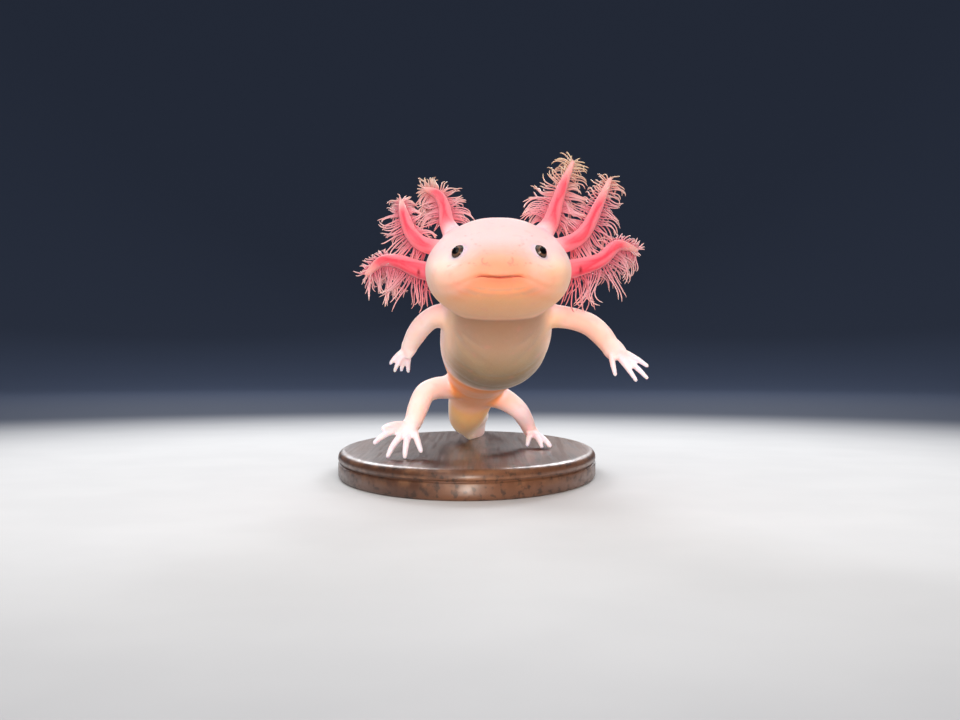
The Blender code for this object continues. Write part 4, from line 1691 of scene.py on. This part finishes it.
class AxolotlColours(bpy.types.PropertyGroup):
    """The tones of the skin, gills, eyes, base and studio paper."""

    pale: shade("Pale skin", "The lightest skin, over the head and limbs", 254, 226, 224)
    blush: shade("Blush", "The pinker patches of the pale skin", 253, 214, 208)
    # Painted shade on the top of the head, against the light from above
    crown: shade("Crown", "The top of the head", 248, 204, 206)
    # Partly the skin's tone, partly painted shade where the snout turns under
    mouth_tone_and_shade: shade("Peach", "Round the mouth", 246, 142, 102)
    # Partly the jaw's own tone, partly painted warm shade and bounce
    jaw: shade("Jaw", "The lower jaw and chin", 246, 172, 110)
    # Partly the skin's tone, partly painted shade low on the sides of the head
    cheek: shade("Cheek", "The outer sides of the head", 252, 188, 142)
    # Partly the skin's tone, partly painted shade under the upper lip
    under_lip: shade("Under the lip", "The warm band below the mouth", 204, 124, 86)
    # The red of the mouth, darkened as painted shade in the slit
    lip: shade("Lip line", "Inside the mouth's slit", 158, 30, 12)
    pore: shade("Pore", "The small sense pits and nostrils", 226, 126, 116)
    blood: shade("Blood", "Faint vessels under the skin", 236, 130, 130)
    beside_eye: shade("Beside the eye", "The bluish skin below and inside the eyes", 192, 184, 206)
    # Painted shade, darker and warmer, on skin that faces down
    underside: shade("Underside", "Skin that faces down", 252, 192, 164)
    # The limbs' rosy tone; their tops and the right limbs keep less of it as painted light
    limb: shade("Limbs", "The arms and legs", 250, 186, 166)
    paw: shade("Paw", "Hands and feet", 238, 226, 240)
    fin: shade("Fin", "The thin fins", 250, 196, 186)
    # Painted warm glow on the front of the tail's root
    tail_root: shade("Tail root", "The front of the tail", 255, 196, 132)
    # Painted shade on the throat and chest under the head
    chest: shade("Chest", "The throat and chest", 144, 106, 78)
    # The gut showing through, darkened further with painted shade
    belly: shade("Belly", "The belly, where the gut shows through", 142, 122, 84)
    # Painted glow of light through the thin skin along the belly's sides
    belly_edge: shade("Belly edge", "The lighter edges of the belly", 255, 206, 166)
    # Painted shade in the belly's folds and over its lower end
    belly_crease_shade: shade("Belly crease", "The dark lines across the belly", 112, 84, 42)
    # Painted warm glow of light through the flesh below the hips
    loins: shade("Loins", "Below the hips and the root of the tail", 255, 156, 88)
    gill_root: shade("Gill root", "Where the pink of the gills runs into the head", 253, 190, 204)
    gill: shade("Gill", "The gills' stalks", 255, 132, 146)
    # Also painted shade along the lower edge of the bottom stalks
    vessel: shade("Vessel", "The dark lines along the gills", 246, 54, 80)
    gill_tip: shade("Gill tip", "The ends of the stalks", 238, 192, 180)
    # Painted shade of the gill slit's opening
    slit: shade("Gill slit", "The dark slit at the root of the lowest gills", 140, 0, 20)
    filament_root: shade("Filament root", "The filaments where they leave the stalk", 222, 108, 128)
    filament_blood: shade("Filaments by the head", "The deep red filaments next to the head", 210, 58, 80)
    filament_shade: shade("Filament shade", "The darkest filaments, at the back of the fringe", 166, 98, 108)
    filament: shade("Filament", "The filaments' middle", 240, 178, 186)
    filament_tip: shade("Filament tip", "The filaments' ends", 244, 208, 200)
    filament_crest: shade("Filament crest", "The ends of the highest filaments", 216, 196, 158)
    pupil: shade("Pupil", "The middle of the eye", 8, 7, 8)
    eye_ring: shade("Eye ring", "The brown ring round the pupil", 108, 74, 50)
    iris_dark: shade("Dark iris", "The darker part of the iris", 40, 32, 30)
    iris_light: shade("Light iris", "The flecks of the iris", 82, 66, 58)
    eye_rim: shade("Eye rim", "The pale ring round the iris", 168, 172, 200)
    wood: shade("Wood", "The base's stained wood", 74, 46, 32)
    wood_light: shade("Light wood", "The lighter grain", 104, 66, 44)
    wood_pore: shade("Wood pores", "The dark pores of the wood", 34, 21, 15)
    wood_worn: shade("Worn wood", "The rubbed edges", 150, 104, 72)
    floor: shade("Floor", "The pale floor", 214, 216, 219)
    wall: shade("Wall", "The backdrop above the floor", 40, 50, 70)


class AxolotlStudio(bpy.types.PropertyGroup):
    """The camera and the lights."""

    camera: bpy.props.FloatVectorProperty(
        name="Camera", description="Where the camera stands, looking level along +Y", subtype="TRANSLATION",
        unit="LENGTH", default=(0.003, -0.262, 0.0265),
    )
    lens: bpy.props.FloatProperty(
        name="Lens", description="Focal length of the camera, in millimetres", subtype="DISTANCE_CAMERA",
        unit="CAMERA", default=41.1,
    )
    light: bpy.props.FloatProperty(
        name="Light", description="Strength of all the lamps", default=1.0, min=0.0
    )
    fill: bpy.props.FloatProperty(
        name="Fill", description="Strength of the light from all round", default=0.5, min=0.0
    )


class AXOLOTL_OT_skin(bpy.types.Operator):
    """Make the skin that covers the head, body, limbs, fins and gills"""

    bl_idname = "axolotl.skin"
    bl_label = "Skin"

    def execute(self, context):
        make_skin(context.scene.axolotl_sizes, context.scene.axolotl_colours)
        return {"FINISHED"}


class AXOLOTL_OT_filaments(bpy.types.Operator):
    """Make the fine filaments along each gill"""

    bl_idname = "axolotl.filaments"
    bl_label = "Gill Filaments"

    def execute(self, context):
        material = filament_material(context.scene.axolotl_colours)
        for name in GILLS:
            make_gill_filaments(name, context.scene.axolotl_sizes, material)
        return {"FINISHED"}


class AXOLOTL_OT_eyes(bpy.types.Operator):
    """Make the two eyeballs"""

    bl_idname = "axolotl.eyes"
    bl_label = "Eyes"

    def execute(self, context):
        material = eye_material(context.scene.axolotl_colours)
        for word, centre, gaze in eye_centres():
            make_eye(word, centre, gaze, material)
        return {"FINISHED"}


class AXOLOTL_OT_base(bpy.types.Operator):
    """Make the wooden display base"""

    bl_idname = "axolotl.base"
    bl_label = "Base"

    def execute(self, context):
        make_base(wood_material(context.scene.axolotl_colours))
        return {"FINISHED"}


class AXOLOTL_OT_studio(bpy.types.Operator):
    """Make the backdrop, the lights and the camera"""

    bl_idname = "axolotl.studio"
    bl_label = "Studio"

    def execute(self, context):
        make_studio(context.scene.axolotl_studio, context.scene.axolotl_colours)
        return {"FINISHED"}


class AXOLOTL_PT_looks(bpy.types.Panel):
    """The pieces of the model's looks"""

    bl_idname = "AXOLOTL_PT_looks"
    bl_label = "Axolotl"
    bl_space_type = "VIEW_3D"
    bl_region_type = "UI"
    bl_category = "Axolotl"

    def draw(self, context):
        for operator in OPERATORS:
            self.layout.operator(operator.bl_idname)
        for group in ("axolotl_sizes", "axolotl_studio", "axolotl_colours"):
            settings = getattr(context.scene, group)
            box = self.layout.box()
            for name in settings.__annotations__:
                box.prop(settings, name)


GROUPS = {"axolotl_sizes": AxolotlSizes, "axolotl_colours": AxolotlColours, "axolotl_studio": AxolotlStudio}
OPERATORS = (AXOLOTL_OT_skin, AXOLOTL_OT_filaments, AXOLOTL_OT_eyes, AXOLOTL_OT_base, AXOLOTL_OT_studio)


def register():
    for kind in (*GROUPS.values(), *OPERATORS, AXOLOTL_PT_looks):
        bpy.utils.register_class(kind)
    for name, group in GROUPS.items():
        setattr(bpy.types.Scene, name, bpy.props.PointerProperty(type=group))


def unregister():
    for name in GROUPS:
        delattr(bpy.types.Scene, name)
    for kind in reversed((*GROUPS.values(), *OPERATORS, AXOLOTL_PT_looks)):
        bpy.utils.unregister_class(kind)


def main():
    register()
    for name in ("Cube", "Light", "Camera"):
        if name in bpy.data.objects:
            bpy.data.objects.remove(bpy.data.objects[name])
    bpy.ops.axolotl.skin()
    bpy.ops.axolotl.filaments()
    bpy.ops.axolotl.eyes()
    bpy.ops.axolotl.base()
    bpy.ops.axolotl.studio()


if __name__ == "__main__":
    main()
